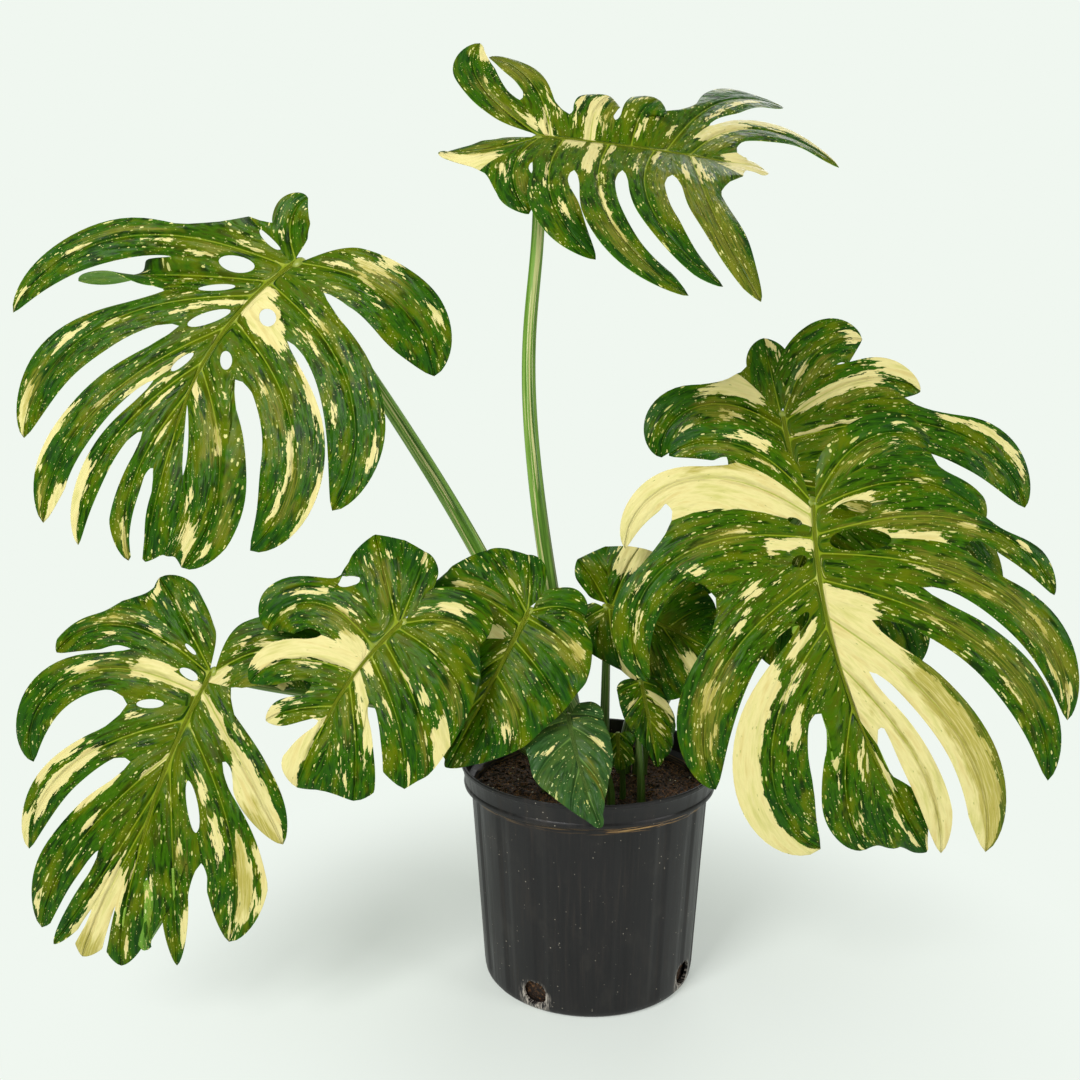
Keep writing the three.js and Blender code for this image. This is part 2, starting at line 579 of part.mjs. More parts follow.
/** A blade with the thickened joint it carries underneath. */
function blade(leaf) {
  const { direction, knuckle, end, radius } = arrival(leaf);
  const ball = new THREE.IcosahedronGeometry(radius * 1.3, 1);
  ball.translate(knuckle.x, knuckle.y, knuckle.z);
  const stub = bar(end, direction, radius * 3, radius, sidesOf(leaf));
  return thicken(bladeSurface(leaf)).add(solidFrom(ball)).add(stub);
}

/** Sides of a stalk and of the hole it stands in. */
function sidesOf(leaf) {
  return leaf.stalk.radii[0] < 6 ? 8 : 12;
}

/** The centre line of a stalk: straight in the soil, then one curve to its blade. */
function stalkPath(leaf) {
  const { direction, end } = arrival(leaf);
  const [x, y] = leaf.stalk.root;
  const foot = vector(x, y, SOIL_LEVEL - ROOT_DEPTH + GAP);
  const collar = vector(x, y, SOIL_LEVEL + 8);
  const tip = end.addScaledVector(direction, -GAP);
  const curve = new THREE.CubicBezierCurve3(
    collar,
    collar.clone().add(vector(leaf.stalk.lean ?? 0, 0, leaf.stalk.rise)),
    tip.clone().addScaledVector(direction, -leaf.stalk.reach),
    tip,
  );
  const points = [foot];
  const tangents = [vector(0, 0, 1)];
  for (let i = 0; i < STALK_RINGS; i += 1) {
    points.push(curve.getPointAt(i / (STALK_RINGS - 1)));
    tangents.push(i === 0 ? vector(0, 0, 1) : curve.getTangentAt(i / (STALK_RINGS - 1)));
  }
  tangents[tangents.length - 1] = direction;
  return { points, tangents };
}

/** A stalk: round rings along its path, thickest in the soil and closed at both ends. */
function stalk(leaf) {
  const { points, tangents } = stalkPath(leaf);
  const [wide, slim] = leaf.stalk.radii;
  const sides = sidesOf(leaf);
  const rings = [];
  let out = vector(1, 0, 0);
  points.forEach((centre, i) => {
    out = out.clone().addScaledVector(tangents[i], -out.dot(tangents[i])).normalize();
    const side = tangents[i].clone().cross(out);
    const share = Math.max(0, i - 1) / (points.length - 2);
    const radius = slim + (wide - slim) * (1 - share) ** 1.2;
    for (let j = 0; j < sides; j += 1) {
      const angle = (2 * Math.PI * j) / sides;
      rings.push(centre.clone().add(blend(out, radius * Math.cos(angle), side, radius * Math.sin(angle))));
    }
  });
  const faces = [];
  for (let i = 0; i < points.length - 1; i += 1) {
    for (let j = 0; j < sides; j += 1) {
      const a = i * sides + j;
      const b = i * sides + ((j + 1) % sides);
      faces.push([a, b, b + sides], [a, b + sides, a + sides]);
    }
  }
  const top = (points.length - 1) * sides;
  for (let j = 1; j < sides - 1; j += 1) {
    faces.push([0, j + 1, j], [top, top + j, top + j + 1]);
  }
  return solid(rings, faces);
}

/** A solid turned about Z from rings of [radius, height, fluted], closed on the axis. */
function turned(profile, sides) {
  const points = [vector(0, 0, profile[0][1])];
  profile.forEach(([radius, height, fluted]) => {
    for (let j = 0; j < sides; j += 1) {
      const angle = (2 * Math.PI * (j + 0.5)) / sides;
      const r = fluted && j % 3 === 0 ? radius - POT_FLUTE_DEPTH : radius;
      points.push(vector(r * Math.cos(angle), r * Math.sin(angle), height));
    }
  });
  points.push(vector(0, 0, profile[profile.length - 1][1]));
  const faces = [];
  const at = (i, j) => 1 + i * sides + (j % sides);
  for (let j = 0; j < sides; j += 1) {
    faces.push([0, at(0, j + 1), at(0, j)]);
    for (let i = 0; i < profile.length - 1; i += 1) {
      faces.push([at(i, j), at(i, j + 1), at(i + 1, j + 1)], [at(i, j), at(i + 1, j + 1), at(i + 1, j)]);
    }
    faces.push([points.length - 1, at(profile.length - 1, j), at(profile.length - 1, j + 1)]);
  }
  return solid(points, faces);
}

const SHOULDER = POT_HEIGHT - POT_COLLAR_HEIGHT;
const INNER_FLOOR_RADIUS = POT_BASE_RADIUS - POT_FLUTE_DEPTH - POT_WALL - 3;
const INNER_TOP_RADIUS = POT_BODY_TOP_RADIUS - POT_FLUTE_DEPTH - POT_WALL;

/** The pot: a fluted, tapered body under a plain collar, with drain holes low in the wall. */
function pot() {
  const body = turned([
    [POT_BASE_RADIUS - 7, 0],
    [POT_BASE_RADIUS, 7],
    [POT_BASE_RADIUS + 1, 12, true],
    [POT_BODY_TOP_RADIUS, SHOULDER - 5, true],
    [POT_BODY_TOP_RADIUS + 1, SHOULDER - 1],
    [POT_RIM_RADIUS - 4, SHOULDER],
    [POT_RIM_RADIUS - 2, POT_HEIGHT - 5],
    [POT_RIM_RADIUS, POT_HEIGHT - 4],
    [POT_RIM_RADIUS, POT_HEIGHT - 1],
    [POT_RIM_RADIUS - 1, POT_HEIGHT],
    [POT_RIM_RADIUS - 4, POT_HEIGHT],
    [POT_RIM_RADIUS - 4 - POT_WALL, SHOULDER + 3],
    [INNER_TOP_RADIUS, SHOULDER - 2],
    [INNER_FLOOR_RADIUS, POT_FLOOR],
  ], POT_SIDES);
  return DRAIN_ANGLES.reduce((rest, degrees) => {
    const outward = vector(Math.cos(radians(degrees)), Math.sin(radians(degrees)), 0);
    const start = outward.clone().multiplyScalar(POT_BASE_RADIUS * 0.8).setZ(DRAIN_HEIGHT);
    return rest.subtract(bar(start, outward, POT_BASE_RADIUS * 0.4, DRAIN_RADIUS, 20));
  }, body);
}

/** The soil: fills the pot below the collar, slightly mounded, with a hole for every stalk. */
function soil() {
  const inside = (height) => {
    const share = (height - POT_FLOOR) / (SHOULDER - 2 - POT_FLOOR);
    return INNER_FLOOR_RADIUS + (INNER_TOP_RADIUS - INNER_FLOOR_RADIUS) * share - GAP;
  };
  const bottom = POT_FLOOR + GAP;
  const radius = inside(SOIL_LEVEL);
  const body = turned([
    [inside(bottom), bottom],
    [radius, SOIL_LEVEL],
    [radius * 0.86, SOIL_LEVEL - SOIL_RELIEF],
    [radius * 0.6, SOIL_LEVEL + SOIL_RELIEF * 0.4],
    [radius * 0.3, SOIL_LEVEL + SOIL_RELIEF],
  ], POT_SIDES);
  return LEAVES.reduce((rest, leaf) => {
    const [x, y] = leaf.stalk.root;
    const foot = vector(x, y, SOIL_LEVEL - ROOT_DEPTH);
    const wide = leaf.stalk.radii[0] + GAP;
    return rest.subtract(bar(foot, vector(0, 0, 1), ROOT_DEPTH + 20, wide, sidesOf(leaf)));
  }, body);
}

const plastic = () => new THREE.MeshStandardMaterial({ color: 0x2c2a29, roughness: 0.45, metalness: 0 });
const earth = () => new THREE.MeshStandardMaterial({ color: 0x1d130c, roughness: 0.95, metalness: 0 });
const green = () => new THREE.MeshStandardMaterial({ color: 0x2f6a12, roughness: 0.4, metalness: 0 });
const pale = () => new THREE.MeshStandardMaterial({ color: 0x86a847, roughness: 0.45, metalness: 0 });

const plant = new THREE.Group();
plant.name = 'potted_monstera';
plant.add(meshFrom(pot(), 'pot', plastic()));
plant.add(meshFrom(soil(), 'soil', earth()));
LEAVES.forEach((leaf) => {
  plant.add(meshFrom(blade(leaf), `leaf_${leaf.name}`, green()));
  plant.add(meshFrom(stalk(leaf), `stalk_${leaf.name}`, pale()));
});

export default plant;
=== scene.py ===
# Thai constellation monstera in a black nursery pot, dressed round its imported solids.
# Metres, +Z up, the pot's axis on Z and its base on Z = 0. The plant's sizes are given in millimetres, which
# MM turns to metres.
import math
from collections import namedtuple

import bpy
import numpy as np
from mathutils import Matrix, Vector


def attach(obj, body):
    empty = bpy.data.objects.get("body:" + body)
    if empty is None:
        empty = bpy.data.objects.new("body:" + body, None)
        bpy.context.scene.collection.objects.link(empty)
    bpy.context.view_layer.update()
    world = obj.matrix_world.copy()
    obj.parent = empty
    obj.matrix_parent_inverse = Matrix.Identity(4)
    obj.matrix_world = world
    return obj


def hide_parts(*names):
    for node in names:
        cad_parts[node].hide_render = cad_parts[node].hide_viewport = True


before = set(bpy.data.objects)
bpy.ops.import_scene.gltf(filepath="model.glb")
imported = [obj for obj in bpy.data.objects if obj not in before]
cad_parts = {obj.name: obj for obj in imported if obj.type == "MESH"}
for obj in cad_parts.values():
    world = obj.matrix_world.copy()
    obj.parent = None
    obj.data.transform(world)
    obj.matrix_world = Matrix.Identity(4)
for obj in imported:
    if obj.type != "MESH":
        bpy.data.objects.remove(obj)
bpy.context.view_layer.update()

# Studio. A pale paper floor that runs out of sight, one large soft light up on the left, a weaker one on
# the right, and pale walls all round. The camera stands in front and looks down a little, with the reach
# that makes a square frame of 1080 pixels hold the plant as the photograph does.
PAPER = "#f0f7f0"
FLOOR_TONE = "#e6ebe6"
CAMERA_PLACE = (-0.0538, -1.1568, 0.656)
CAMERA_TILT = math.radians(90 - 8.64)
CAMERA_LENS = 36.667
FLOOR_REACH = 9.0
FLOOR_GLOW = (0.15, 0.6, 0.35)  # grows between these distances from the pot's axis, from this share on
WALL_LIGHT = (-0.1, 0.9, 0.12, 0.42)  # between these slopes of view, and from and to this strength
EASED = {"interpolation_type": "SMOOTHSTEP"}


def linear(hex_colour):
    """An sRGB hex colour as linear red, green, blue and full alpha."""
    channels = [int(hex_colour[i:i + 2], 16) / 255 for i in (1, 3, 5)]
    return (*(c / 12.92 if c <= 0.04045 else ((c + 0.055) / 1.055) ** 2.4 for c in channels), 1.0)


def node(tree, kind, *inputs, stops=(), **settings):
    """Adds a node. Its inputs are values, outputs or whole nodes, which stand for their first output, given
    in the sockets' order or, in one dictionary, by name or number. stops are a ramp's places and colours."""
    new = tree.nodes.new(kind if "Node" in kind else "ShaderNode" + kind)
    for name, value in settings.items():
        setattr(new, name, value)
    named = inputs[0] if inputs and isinstance(inputs[0], dict) else dict(enumerate(inputs))
    for key, value in named.items():
        if isinstance(value, bpy.types.Node):
            value = value.outputs[0]
        if isinstance(value, bpy.types.NodeSocket):
            tree.links.new(value, new.inputs[key])
        else:
            new.inputs[key].default_value = value
    if stops:
        elements = new.color_ramp.elements
        while len(elements) < len(stops):
            elements.new(0.5)
        for element, (place, colour) in zip(elements, stops):
            element.position = place
            element.color = linear(colour)
    return new


def material(name):
    """A new material and its empty node tree."""
    new = bpy.data.materials.new(name)
    new.use_nodes = True
    new.node_tree.nodes.clear()
    return new, new.node_tree


def add_object(name, mesh, *materials):
    """Adds a mesh to the scene as an object at the origin, with its materials in order."""
    new = bpy.data.objects.new(name, mesh)
    bpy.context.scene.collection.objects.link(new)
    for each in materials:
        mesh.materials.append(each)
    return new


camera = bpy.data.objects.new("camera", bpy.data.cameras.new("camera"))
camera.data.lens = CAMERA_LENS
camera.data.sensor_width = 36.0
camera.data.clip_end = 60.0
camera.location = CAMERA_PLACE
camera.rotation_euler = (CAMERA_TILT, 0, 0)
bpy.context.scene.collection.objects.link(camera)
bpy.context.scene.camera = camera

for name, place, aim, width, watts in (
    ("window_left", (-1.5, -2.2, 2.3), (0.0, 0.0, 0.5), 1.2, 85),
    ("window_right", (2.3, -1.4, 1.3), (0.1, 0.0, 0.4), 1.0, 24),
    ("window_back", (0.6, 2.4, 2.2), (0.0, 0.0, 0.5), 1.6, 20),
):
    lamp = bpy.data.objects.new(name, bpy.data.lights.new(name, "AREA"))
    lamp.data.shape = "SQUARE"
    lamp.data.size = width
    lamp.data.energy = watts
    lamp.location = place
    lamp.rotation_euler = (Vector(aim) - Vector(place)).to_track_quat("-Z", "Y").to_euler()
    bpy.context.scene.collection.objects.link(lamp)

walls = bpy.data.worlds.new("pale_walls")
walls.use_nodes = True
tree = walls.node_tree
tree.nodes.clear()
looking = node(tree, "SeparateXYZ", node(tree, "TexCoord").outputs["Generated"]).outputs
wall_light = node(tree, "MapRange", looking["Z"], *WALL_LIGHT)
seen = node(tree, "LightPath").outputs["Is Camera Ray"]
strength = node(tree, "Mix", {0: seen, 2: wall_light, 3: 1.0}, data_type="FLOAT")
node(tree, "OutputWorld", node(tree, "Background", linear(PAPER), strength))
bpy.context.scene.world = walls
bpy.context.scene.view_settings.view_transform = "Standard"

# Matt backdrop paper: it takes the plant's soft shadow close by and runs into the pale walls further out.
paper, tree = material("backdrop_paper")
away = node(tree, "VectorMath", node(tree, "TexCoord").outputs["Object"], operation="LENGTH").outputs["Value"]
glowing = node(tree, "MapRange", away, *FLOOR_GLOW, **EASED)
lit = node(tree, "BsdfDiffuse", linear(FLOOR_TONE))
node(tree, "OutputMaterial", node(tree, "MixShader", glowing, lit, node(tree, "Emission", linear(PAPER))))

floor_mesh = bpy.data.meshes.new("floor")
floor_corners = [(x * FLOOR_REACH, y * FLOOR_REACH, 0.0) for x, y in ((-1, -1), (1, -1), (1, 1), (-1, 1))]
floor_mesh.from_pydata(floor_corners, [], [(0, 1, 2, 3)])
add_object("floor", floor_mesh, paper)

# Pot. A nursery pot blow-moulded in black polyethylene: a tapered body with eighteen shallow flutes under
# a plain collar with a rolled lip, and four drain holes punched low in the wall, torn at their edges.
MM = 0.001
POT_PROFILE = (
    # radius, height, share of the flute's depth; up the outside, over the lip and down the inside
    (0.0, 3.0, 0), (96.0, 3.0, 0), (104.0, 2.0, 0), (106.0, 0.0, 0), (109.0, 0.0, 0), (112.0, 1.2, 0),
    (114.3, 4.0, 0), (115.2, 8.0, 0.2), (115.9, 14.0, 1), (117.6, 40.0, 1), (120.8, 88.0, 1),
    (124.2, 140.0, 1), (127.2, 184.0, 1), (128.6, 204.0, 1), (129.2, 209.0, 0.3), (129.6, 212.5, 0),
    (132.6, 213.4, 0), (135.2, 213.8, 0), (136.6, 214.8, 0), (137.0, 216.6, 0), (136.8, 218.6, 0),
    (135.9, 220.0, 0), (136.0, 222.0, 0), (137.4, 229.0, 0), (138.2, 234.0, 0), (138.9, 235.4, 0),
    (139.8, 236.2, 0), (140.0, 237.8, 0), (139.8, 239.2, 0), (139.0, 240.0, 0), (137.6, 240.0, 0),
    (136.4, 239.2, 0), (135.4, 236.4, 0), (134.2, 226.0, 0), (133.2, 217.4, 0), (131.6, 216.2, 0),
    (127.0, 214.6, 0), (125.4, 212.0, 0.6), (124.4, 196.0, 1), (117.6, 88.0, 1), (112.8, 12.0, 0.6),
    (109.0, 6.0, 0), (100.0, 5.4, 0), (0.0, 5.4, 0),
)
POT_FLUTES = 18
POT_STEPS = 14
POT_FLUTE_DEPTH = 1.5
POT_FLUTE_SHARE, POT_FLUTE_EDGE = 0.36, 0.07  # of the way from one flute to the next
DRAIN_ANGLES = (-121, -31, 59, 149)
DRAIN_RADIUS, DRAIN_HEIGHT = 13.0, 20.0
DRAIN_SIDES, DRAIN_REACH = 36, (96, 132)
SCUFF_RADIUS, SCUFF_HEIGHT = 116.5, 14.0
SCUFF_REACH = (22.0, 13.0)  # none from here on, full within here
COLLAR_DIRT = ((204.5, 209.0), (215.5, 213.8))  # heights from none to full, from below and from above
DIRTY_SIDE = ((-1.75, -1.45), (-0.3, -0.6))  # turns about the axis from none to full, from either end
WALL_RADIUS = 128.0
GRIT_GAP = 3.846


def smooth(x):
    """0 below 0, 1 above 1 and an even S between them."""
    x = np.clip(x, 0.0, 1.0)
    return x * x * (3 - 2 * x)


def grid_faces(rows, columns, closed):
    """Quads between rows of points; closed joins the last column to the first."""
    i, j = np.meshgrid(np.arange(rows - 1), np.arange(columns if closed else columns - 1), indexing="ij")
    a, b = i * columns + j, i * columns + (j + 1) % columns
    return np.stack([a, b, b + columns, a + columns], -1).reshape(-1, 4).tolist()


def capped(rings, low, high):
    """Points and faces of a closed shell: an array of rings of points, and a point that closes each end."""
    rows, sides = rings.shape[:2]
    faces, last = grid_faces(rows, sides, True), (rows - 1) * sides
    low_point, high_point = rows * sides, rows * sides + 1
    for j in range(sides):
        after = (j + 1) % sides
        faces += [[after, j, low_point], [last + j, last + after, high_point]]
    return np.vstack([rings.reshape(-1, 3), low, high]), faces


def mesh_from(name, points, faces):
    """A smooth-shaded mesh from points in millimetres."""
    mesh = bpy.data.meshes.new(name)
    mesh.from_pydata(np.asarray(points) * MM, [], [tuple(map(int, face)) for face in faces])
    mesh.polygons.foreach_set("use_smooth", [True] * len(mesh.polygons))
    return mesh


def frozen(obj, name):
    """The object's mesh with its modifiers in it, as a plain mesh; the object itself is removed."""
    graph = bpy.context.evaluated_depsgraph_get()
    mesh = bpy.data.meshes.new_from_object(
        obj.evaluated_get(graph), preserve_all_data_layers=True, depsgraph=graph,
    )
    mesh.name = name
    bpy.data.objects.remove(obj)
    return mesh


def punch(degrees, random):
    """A rough round bar through the wall, the shape that a torn drain hole leaves."""
    outward = np.array([math.cos(math.radians(degrees)), math.sin(math.radians(degrees)), 0.0])
    side, up = np.array([-outward[1], outward[0], 0.0]), np.array([0, 0, 1.0])
    turn = 2 * np.pi * np.arange(DRAIN_SIDES) / DRAIN_SIDES
    torn = 1 + 0.035 * np.sin(5 * turn + degrees) + random.normal(0, 0.018, DRAIN_SIDES)
    rough = DRAIN_RADIUS * torn
    ring = side * (rough * np.cos(turn))[:, None] + up * (rough * np.sin(turn))[:, None] + up * DRAIN_HEIGHT
    faces = grid_faces(2, DRAIN_SIDES, True)
    faces += [range(DRAIN_SIDES - 1, -1, -1), range(DRAIN_SIDES, 2 * DRAIN_SIDES)]
    points = np.vstack([ring + outward * reach for reach in DRAIN_REACH])
    return add_object("punch", mesh_from("punch", points, faces))


profile = np.array(POT_PROFILE, float)
angle = 2 * np.pi * np.arange(POT_FLUTES * POT_STEPS) / (POT_FLUTES * POT_STEPS)
place = (angle * POT_FLUTES / (2 * np.pi)) % 1
sunk = smooth(place / POT_FLUTE_EDGE) * smooth((POT_FLUTE_SHARE - place) / POT_FLUTE_EDGE)
radius = profile[1:-1, :1] - POT_FLUTE_DEPTH * sunk * profile[1:-1, 2:]
height = np.broadcast_to(profile[1:-1, 1:2], radius.shape)
rings = np.stack([radius * np.cos(angle), radius * np.sin(angle), height], -1)
shell = capped(rings, (0, 0, profile[0, 1]), (0, 0, profile[-1, 1]))
blank = add_object("pot_blank", mesh_from("pot_blank", *shell))
random = np.random.default_rng(7)
punches = [punch(degrees, random) for degrees in DRAIN_ANGLES]
for each in punches:
    cut = blank.modifiers.new("drain_hole", "BOOLEAN")
    cut.operation = "DIFFERENCE"
    cut.solver = "EXACT"
    cut.object = each
pot_mesh = frozen(blank, "pot")
for each in punches:
    bpy.data.objects.remove(each)
pot_mesh.set_sharp_from_angle(angle=math.radians(34))


def streaks(tree, place, across, along, detail=3.0):
    """Noise drawn out along the second direction of place; across and along are its grain in mm."""
    across, along = 1 / (across * MM), 1 / (along * MM)
    stretched = node(tree, "Mapping", {"Vector": place, "Scale": (across, along, across)})
    return node(tree, "TexNoise", {"Vector": stretched, "Scale": 1.0, "Detail": detail, "Roughness": 0.6})


def product(tree, share, *others):
    """Values multiplied together, such as the shares that let a mark show only where they overlap."""
    for other in others:
        share = node(tree, "Math", share, other, operation="MULTIPLY")
    return share


def layered(tree, colour, *layers):
    """A colour with others laid over it in turn, each given as its share and its colour."""
    for share, top in layers:
        colour = node(tree, "Mix", {0: share, 6: colour, 7: top}, data_type="RGBA").outputs[2]
    return colour


# Polyethylene straight from the mould: near black and satin, with faint streaks up the wall, dust caught
# on it, dried potting mix under the collar and pale scuffs round the drain holes.
moulded, tree = material("black_polyethylene")
spot = node(tree, "TexCoord").outputs["Object"]
parts = node(tree, "SeparateXYZ", spot).outputs
around = node(tree, "Math", parts["Y"], parts["X"], operation="ARCTAN2")
unrolled = node(tree, "CombineXYZ", {"X": product(tree, around, WALL_RADIUS * MM), "Y": parts["Z"]})
wall_streaks = streaks(tree, unrolled, 4, 90)
wall_tone = node(tree, "ValToRGB", wall_streaks, stops=(
    (0.3, "#121113"), (0.55, "#1a1819"), (0.75, "#2a2522"),
))
haze = streaks(tree, unrolled, 30, 50)
hazed = node(tree, "MapRange", haze, 0.5, 0.75, 0.0, 0.35, **EASED)

# Specks of dust, where the haze is.
grit = node(tree, "TexVoronoi", {"Vector": spot, "Scale": 1 / (GRIT_GAP * MM)}).outputs
dusty = product(
    tree, node(tree, "MapRange", grit["Distance"], 0.2, 0.1, **EASED),
    node(tree, "MapRange", grit["Color"], 0.72, 0.76, **EASED),
    node(tree, "MapRange", haze, 0.42, 0.6, **EASED),
)

# Dried mix clings in a line under the collar, most of it at the front right.
under_collar = product(tree, *(
    node(tree, "MapRange", parts["Z"], none * MM, full * MM, **EASED) for none, full in COLLAR_DIRT
))
front_right = product(tree, *(
    node(tree, "MapRange", around, none, full, **EASED) for none, full in DIRTY_SIDE
))
dirt_grain = streaks(tree, unrolled, 45.45, 2.381, 5.0)
dirty = product(
    tree, under_collar, node(tree, "MapRange", dirt_grain, 0.47, 0.55, **EASED),
    node(tree, "Math", front_right, 0.25, operation="MAXIMUM"),
)
dirt_tone = node(tree, "ValToRGB", dirt_grain, stops=((0.5, "#6b4a2a"), (0.6, "#b8925a")))
pot_colour = layered(
    tree, wall_tone, (hazed, linear("#35312d")), (dusty, linear("#a39a8c")), (dirty, dirt_tone),
)
for degrees in DRAIN_ANGLES:
    outward = (math.cos(math.radians(degrees)), math.sin(math.radians(degrees)))
    scuff_middle = (*(c * SCUFF_RADIUS * MM for c in outward), SCUFF_HEIGHT * MM)
    from_hole = node(tree, "VectorMath", spot, scuff_middle, operation="DISTANCE").outputs["Value"]
    scuffed = product(
        tree, node(tree, "MapRange", from_hole, *(reach * MM for reach in SCUFF_REACH), **EASED),
        node(tree, "MapRange", streaks(tree, unrolled, 1.5, 12), 0.46, 0.56, **EASED), 0.85,
    )
    pot_colour = layered(tree, pot_colour, (scuffed, linear("#bdb3a8")))
scratches = streaks(tree, unrolled, 1.2, 30, 4.0)
node(tree, "OutputMaterial", node(tree, "BsdfPrincipled", {
    "Base Color": pot_colour,
    "Roughness": node(tree, "MapRange", wall_streaks, 0.3, 0.7, 0.36, 0.52, **EASED),
    "Specular IOR Level": 0.3, "IOR": 1.51,
    "Normal": node(tree, "Bump", {"Height": scratches, "Strength": 0.12, "Distance": 0.0006}),
}))

pot = add_object("pot_shell", pot_mesh, moulded)
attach(pot, "root")
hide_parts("pot")

# Soil. A peat and bark potting mix, filled to a finger's breadth below the lip and slightly mounded. Its
# crumbs, bark chips, fibres and white perlite lie loose on a rough crust; moist, so dark.
SOIL_LEVEL, SOIL_RADIUS = 207.0, 123.6
SOIL_WALL = ((108.4, 4.3), (114.0, 60.0), (119.8, 150.0), (123.4, 200.0), (123.6, 206.4))  # radius, height
SOIL_RINGS, SOIL_SIDES = 64, 180
CRUMB_SIZE, LUMP_SIZE = 3.03, 16.67
SOIL_WAVES = ((5, 0.05, 0.12, 0.55), (9, 0.2, 0.5, 0.35), (10, 0.7, 1.3, 0.2))  # count, least, most, size


def mound(x, y, waves):
    """Height of the crust at a place: a low mound, a dip by the wall, and lumps of a few millimetres."""
    share = np.hypot(x, y) / SOIL_RADIUS
    height = SOIL_LEVEL + np.interp(share, (0, 0.3, 0.6, 0.86, 1.0), (3.0, 3.0, 1.2, -3.0, -1.0))
    for wave_x, wave_y, shift, size in waves:
        height = height + size * np.sin(x * wave_x + y * wave_y + shift)
    return height


random = np.random.default_rng(11)
waves = []
for count, low, high, size in SOIL_WAVES:
    for _ in range(count):
        length, way = random.uniform(low, high), random.uniform(0, 2 * np.pi)
        waves.append((length * np.cos(way), length * np.sin(way), random.uniform(0, 2 * np.pi), size))
angle = 2 * np.pi * np.arange(SOIL_SIDES) / SOIL_SIDES
wall_radii, wall_heights = np.transpose(SOIL_WALL)
radii = np.concatenate([wall_radii, SOIL_RADIUS * np.linspace(1, 0.012, SOIL_RINGS)])[:, None]
x, y = radii * np.cos(angle), radii * np.sin(angle)
z = mound(x, y, waves)
z[:len(SOIL_WALL)] = wall_heights[:, None]
crust_middle = (0, 0, mound(0.0, 0.0, waves))
soil_mesh = mesh_from("soil", *capped(np.stack([x, y, z], -1), (0, 0, wall_heights[0]), crust_middle))

# Moist peat: matt, very dark brown and crumbly, with damp lumps and with paler fibres that catch the light.
peat, tree = material("moist_peat")
spot = node(tree, "TexCoord").outputs["Object"]
crumb = node(tree, "TexNoise", {
    "Vector": spot, "Scale": 1 / (CRUMB_SIZE * MM), "Detail": 6.0, "Roughness": 0.7,
})
lump = node(tree, "TexNoise", {"Vector": spot, "Scale": 1 / (LUMP_SIZE * MM), "Detail": 3.0})
crumb_tone = node(tree, "ValToRGB", crumb, stops=(
    (0.37, "#120906"), (0.49, "#33200f"), (0.58, "#644225"), (0.68, "#a87544"),
))
damp = node(tree, "MapRange", lump, 0.55, 0.7, 0.0, 0.6, **EASED)
node(tree, "OutputMaterial", node(tree, "BsdfPrincipled", {
    "Base Color": layered(tree, crumb_tone, (damp, linear("#120b07"))), "Roughness": 0.85,
    "Normal": node(tree, "Bump", {"Height": crumb, "Strength": 0.9, "Distance": 0.003}),
}))

soil = add_object("soil_fill", soil_mesh, peat)
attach(soil, "root")
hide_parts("soil")


def geometry_tree(name, inputs):
    """A geometry tree with named inputs, each a kind of socket and its default value. Returns the tree, the
    inputs' identifiers and the outputs that bring them in."""
    new, identifiers = bpy.data.node_groups.new(name, "GeometryNodeTree"), {}
    for label, (kind, value) in inputs.items():
        socket = new.interface.new_socket(label, in_out="INPUT", socket_type="NodeSocket" + kind)
        if value is not None:
            socket.default_value = value
        identifiers[label] = socket.identifier
    new.interface.new_socket("Result", in_out="OUTPUT", socket_type="NodeSocketGeometry")
    return new, identifiers, node(new, "NodeGroupInput").outputs


def end_tree(tree, geometry, finish):
    """Ends a geometry tree: its instances made real and given their material."""
    real = node(tree, "GeometryNodeRealizeInstances", geometry)
    node(tree, "NodeGroupOutput", node(tree, "GeometryNodeSetMaterial", {0: real, "Material": finish}))


def grown(name, start, group, identifiers, values):
    """Runs a geometry tree on a mesh and keeps the result as a plain mesh."""
    carrier = add_object(name, start)
    run = carrier.modifiers.new("grow", "NODES")
    run.node_group = group
    for key, value in values.items():
        run[identifiers[key]] = value
    return frozen(carrier, name)


# Loose bits: one tree scatters them on the crust. Each is a low rock shape, squashed by the size it is
# given, turned at random and half sunk in the peat. They are drawn coarser than real ones, so that they show.
bits_tree, bits_in, given = geometry_tree("loose_bits", {
    "Crust": ("Geometry", None), "Density": ("Float", 10000.0), "Shortest": ("Vector", (1, 1, 1)),
    "Longest": ("Vector", (1, 1, 1)), "Tilt": ("Float", 0.5), "Seed": ("Int", 1),
    "Material": ("Material", None),
})
facing = node(bits_tree, "SeparateXYZ", node(bits_tree, "GeometryNodeInputNormal")).outputs
upward = node(bits_tree, "FunctionNodeCompare", facing["Z"], 0.5, operation="GREATER_THAN", data_type="FLOAT")
scatter = node(bits_tree, "GeometryNodeDistributePointsOnFaces", {
    "Mesh": given["Crust"], "Selection": upward, "Density": given["Density"], "Seed": given["Seed"],
}, distribute_method="RANDOM")
rock = node(bits_tree, "GeometryNodeMeshIcoSphere", {"Radius": 0.5, "Subdivisions": 1})
rock_place = node(bits_tree, "GeometryNodeInputPosition")
rough = node(bits_tree, "TexNoise", {"Vector": rock_place, "Scale": 3.1}).outputs["Color"]
lumpy = node(bits_tree, "VectorMath", rough, (0.5, 0.5, 0.5), operation="SUBTRACT")
shift = node(bits_tree, "VectorMath", {0: lumpy, "Scale": 0.9}, operation="SCALE")
chip = node(bits_tree, "GeometryNodeSetPosition", {"Geometry": rock, "Offset": shift})
sizes = node(bits_tree, "FunctionNodeRandomValue", {
    "Min": given["Shortest"], "Max": given["Longest"], "Seed": given["Seed"],
}, data_type="FLOAT_VECTOR")
lean = product(bits_tree, given["Tilt"], -1.0)
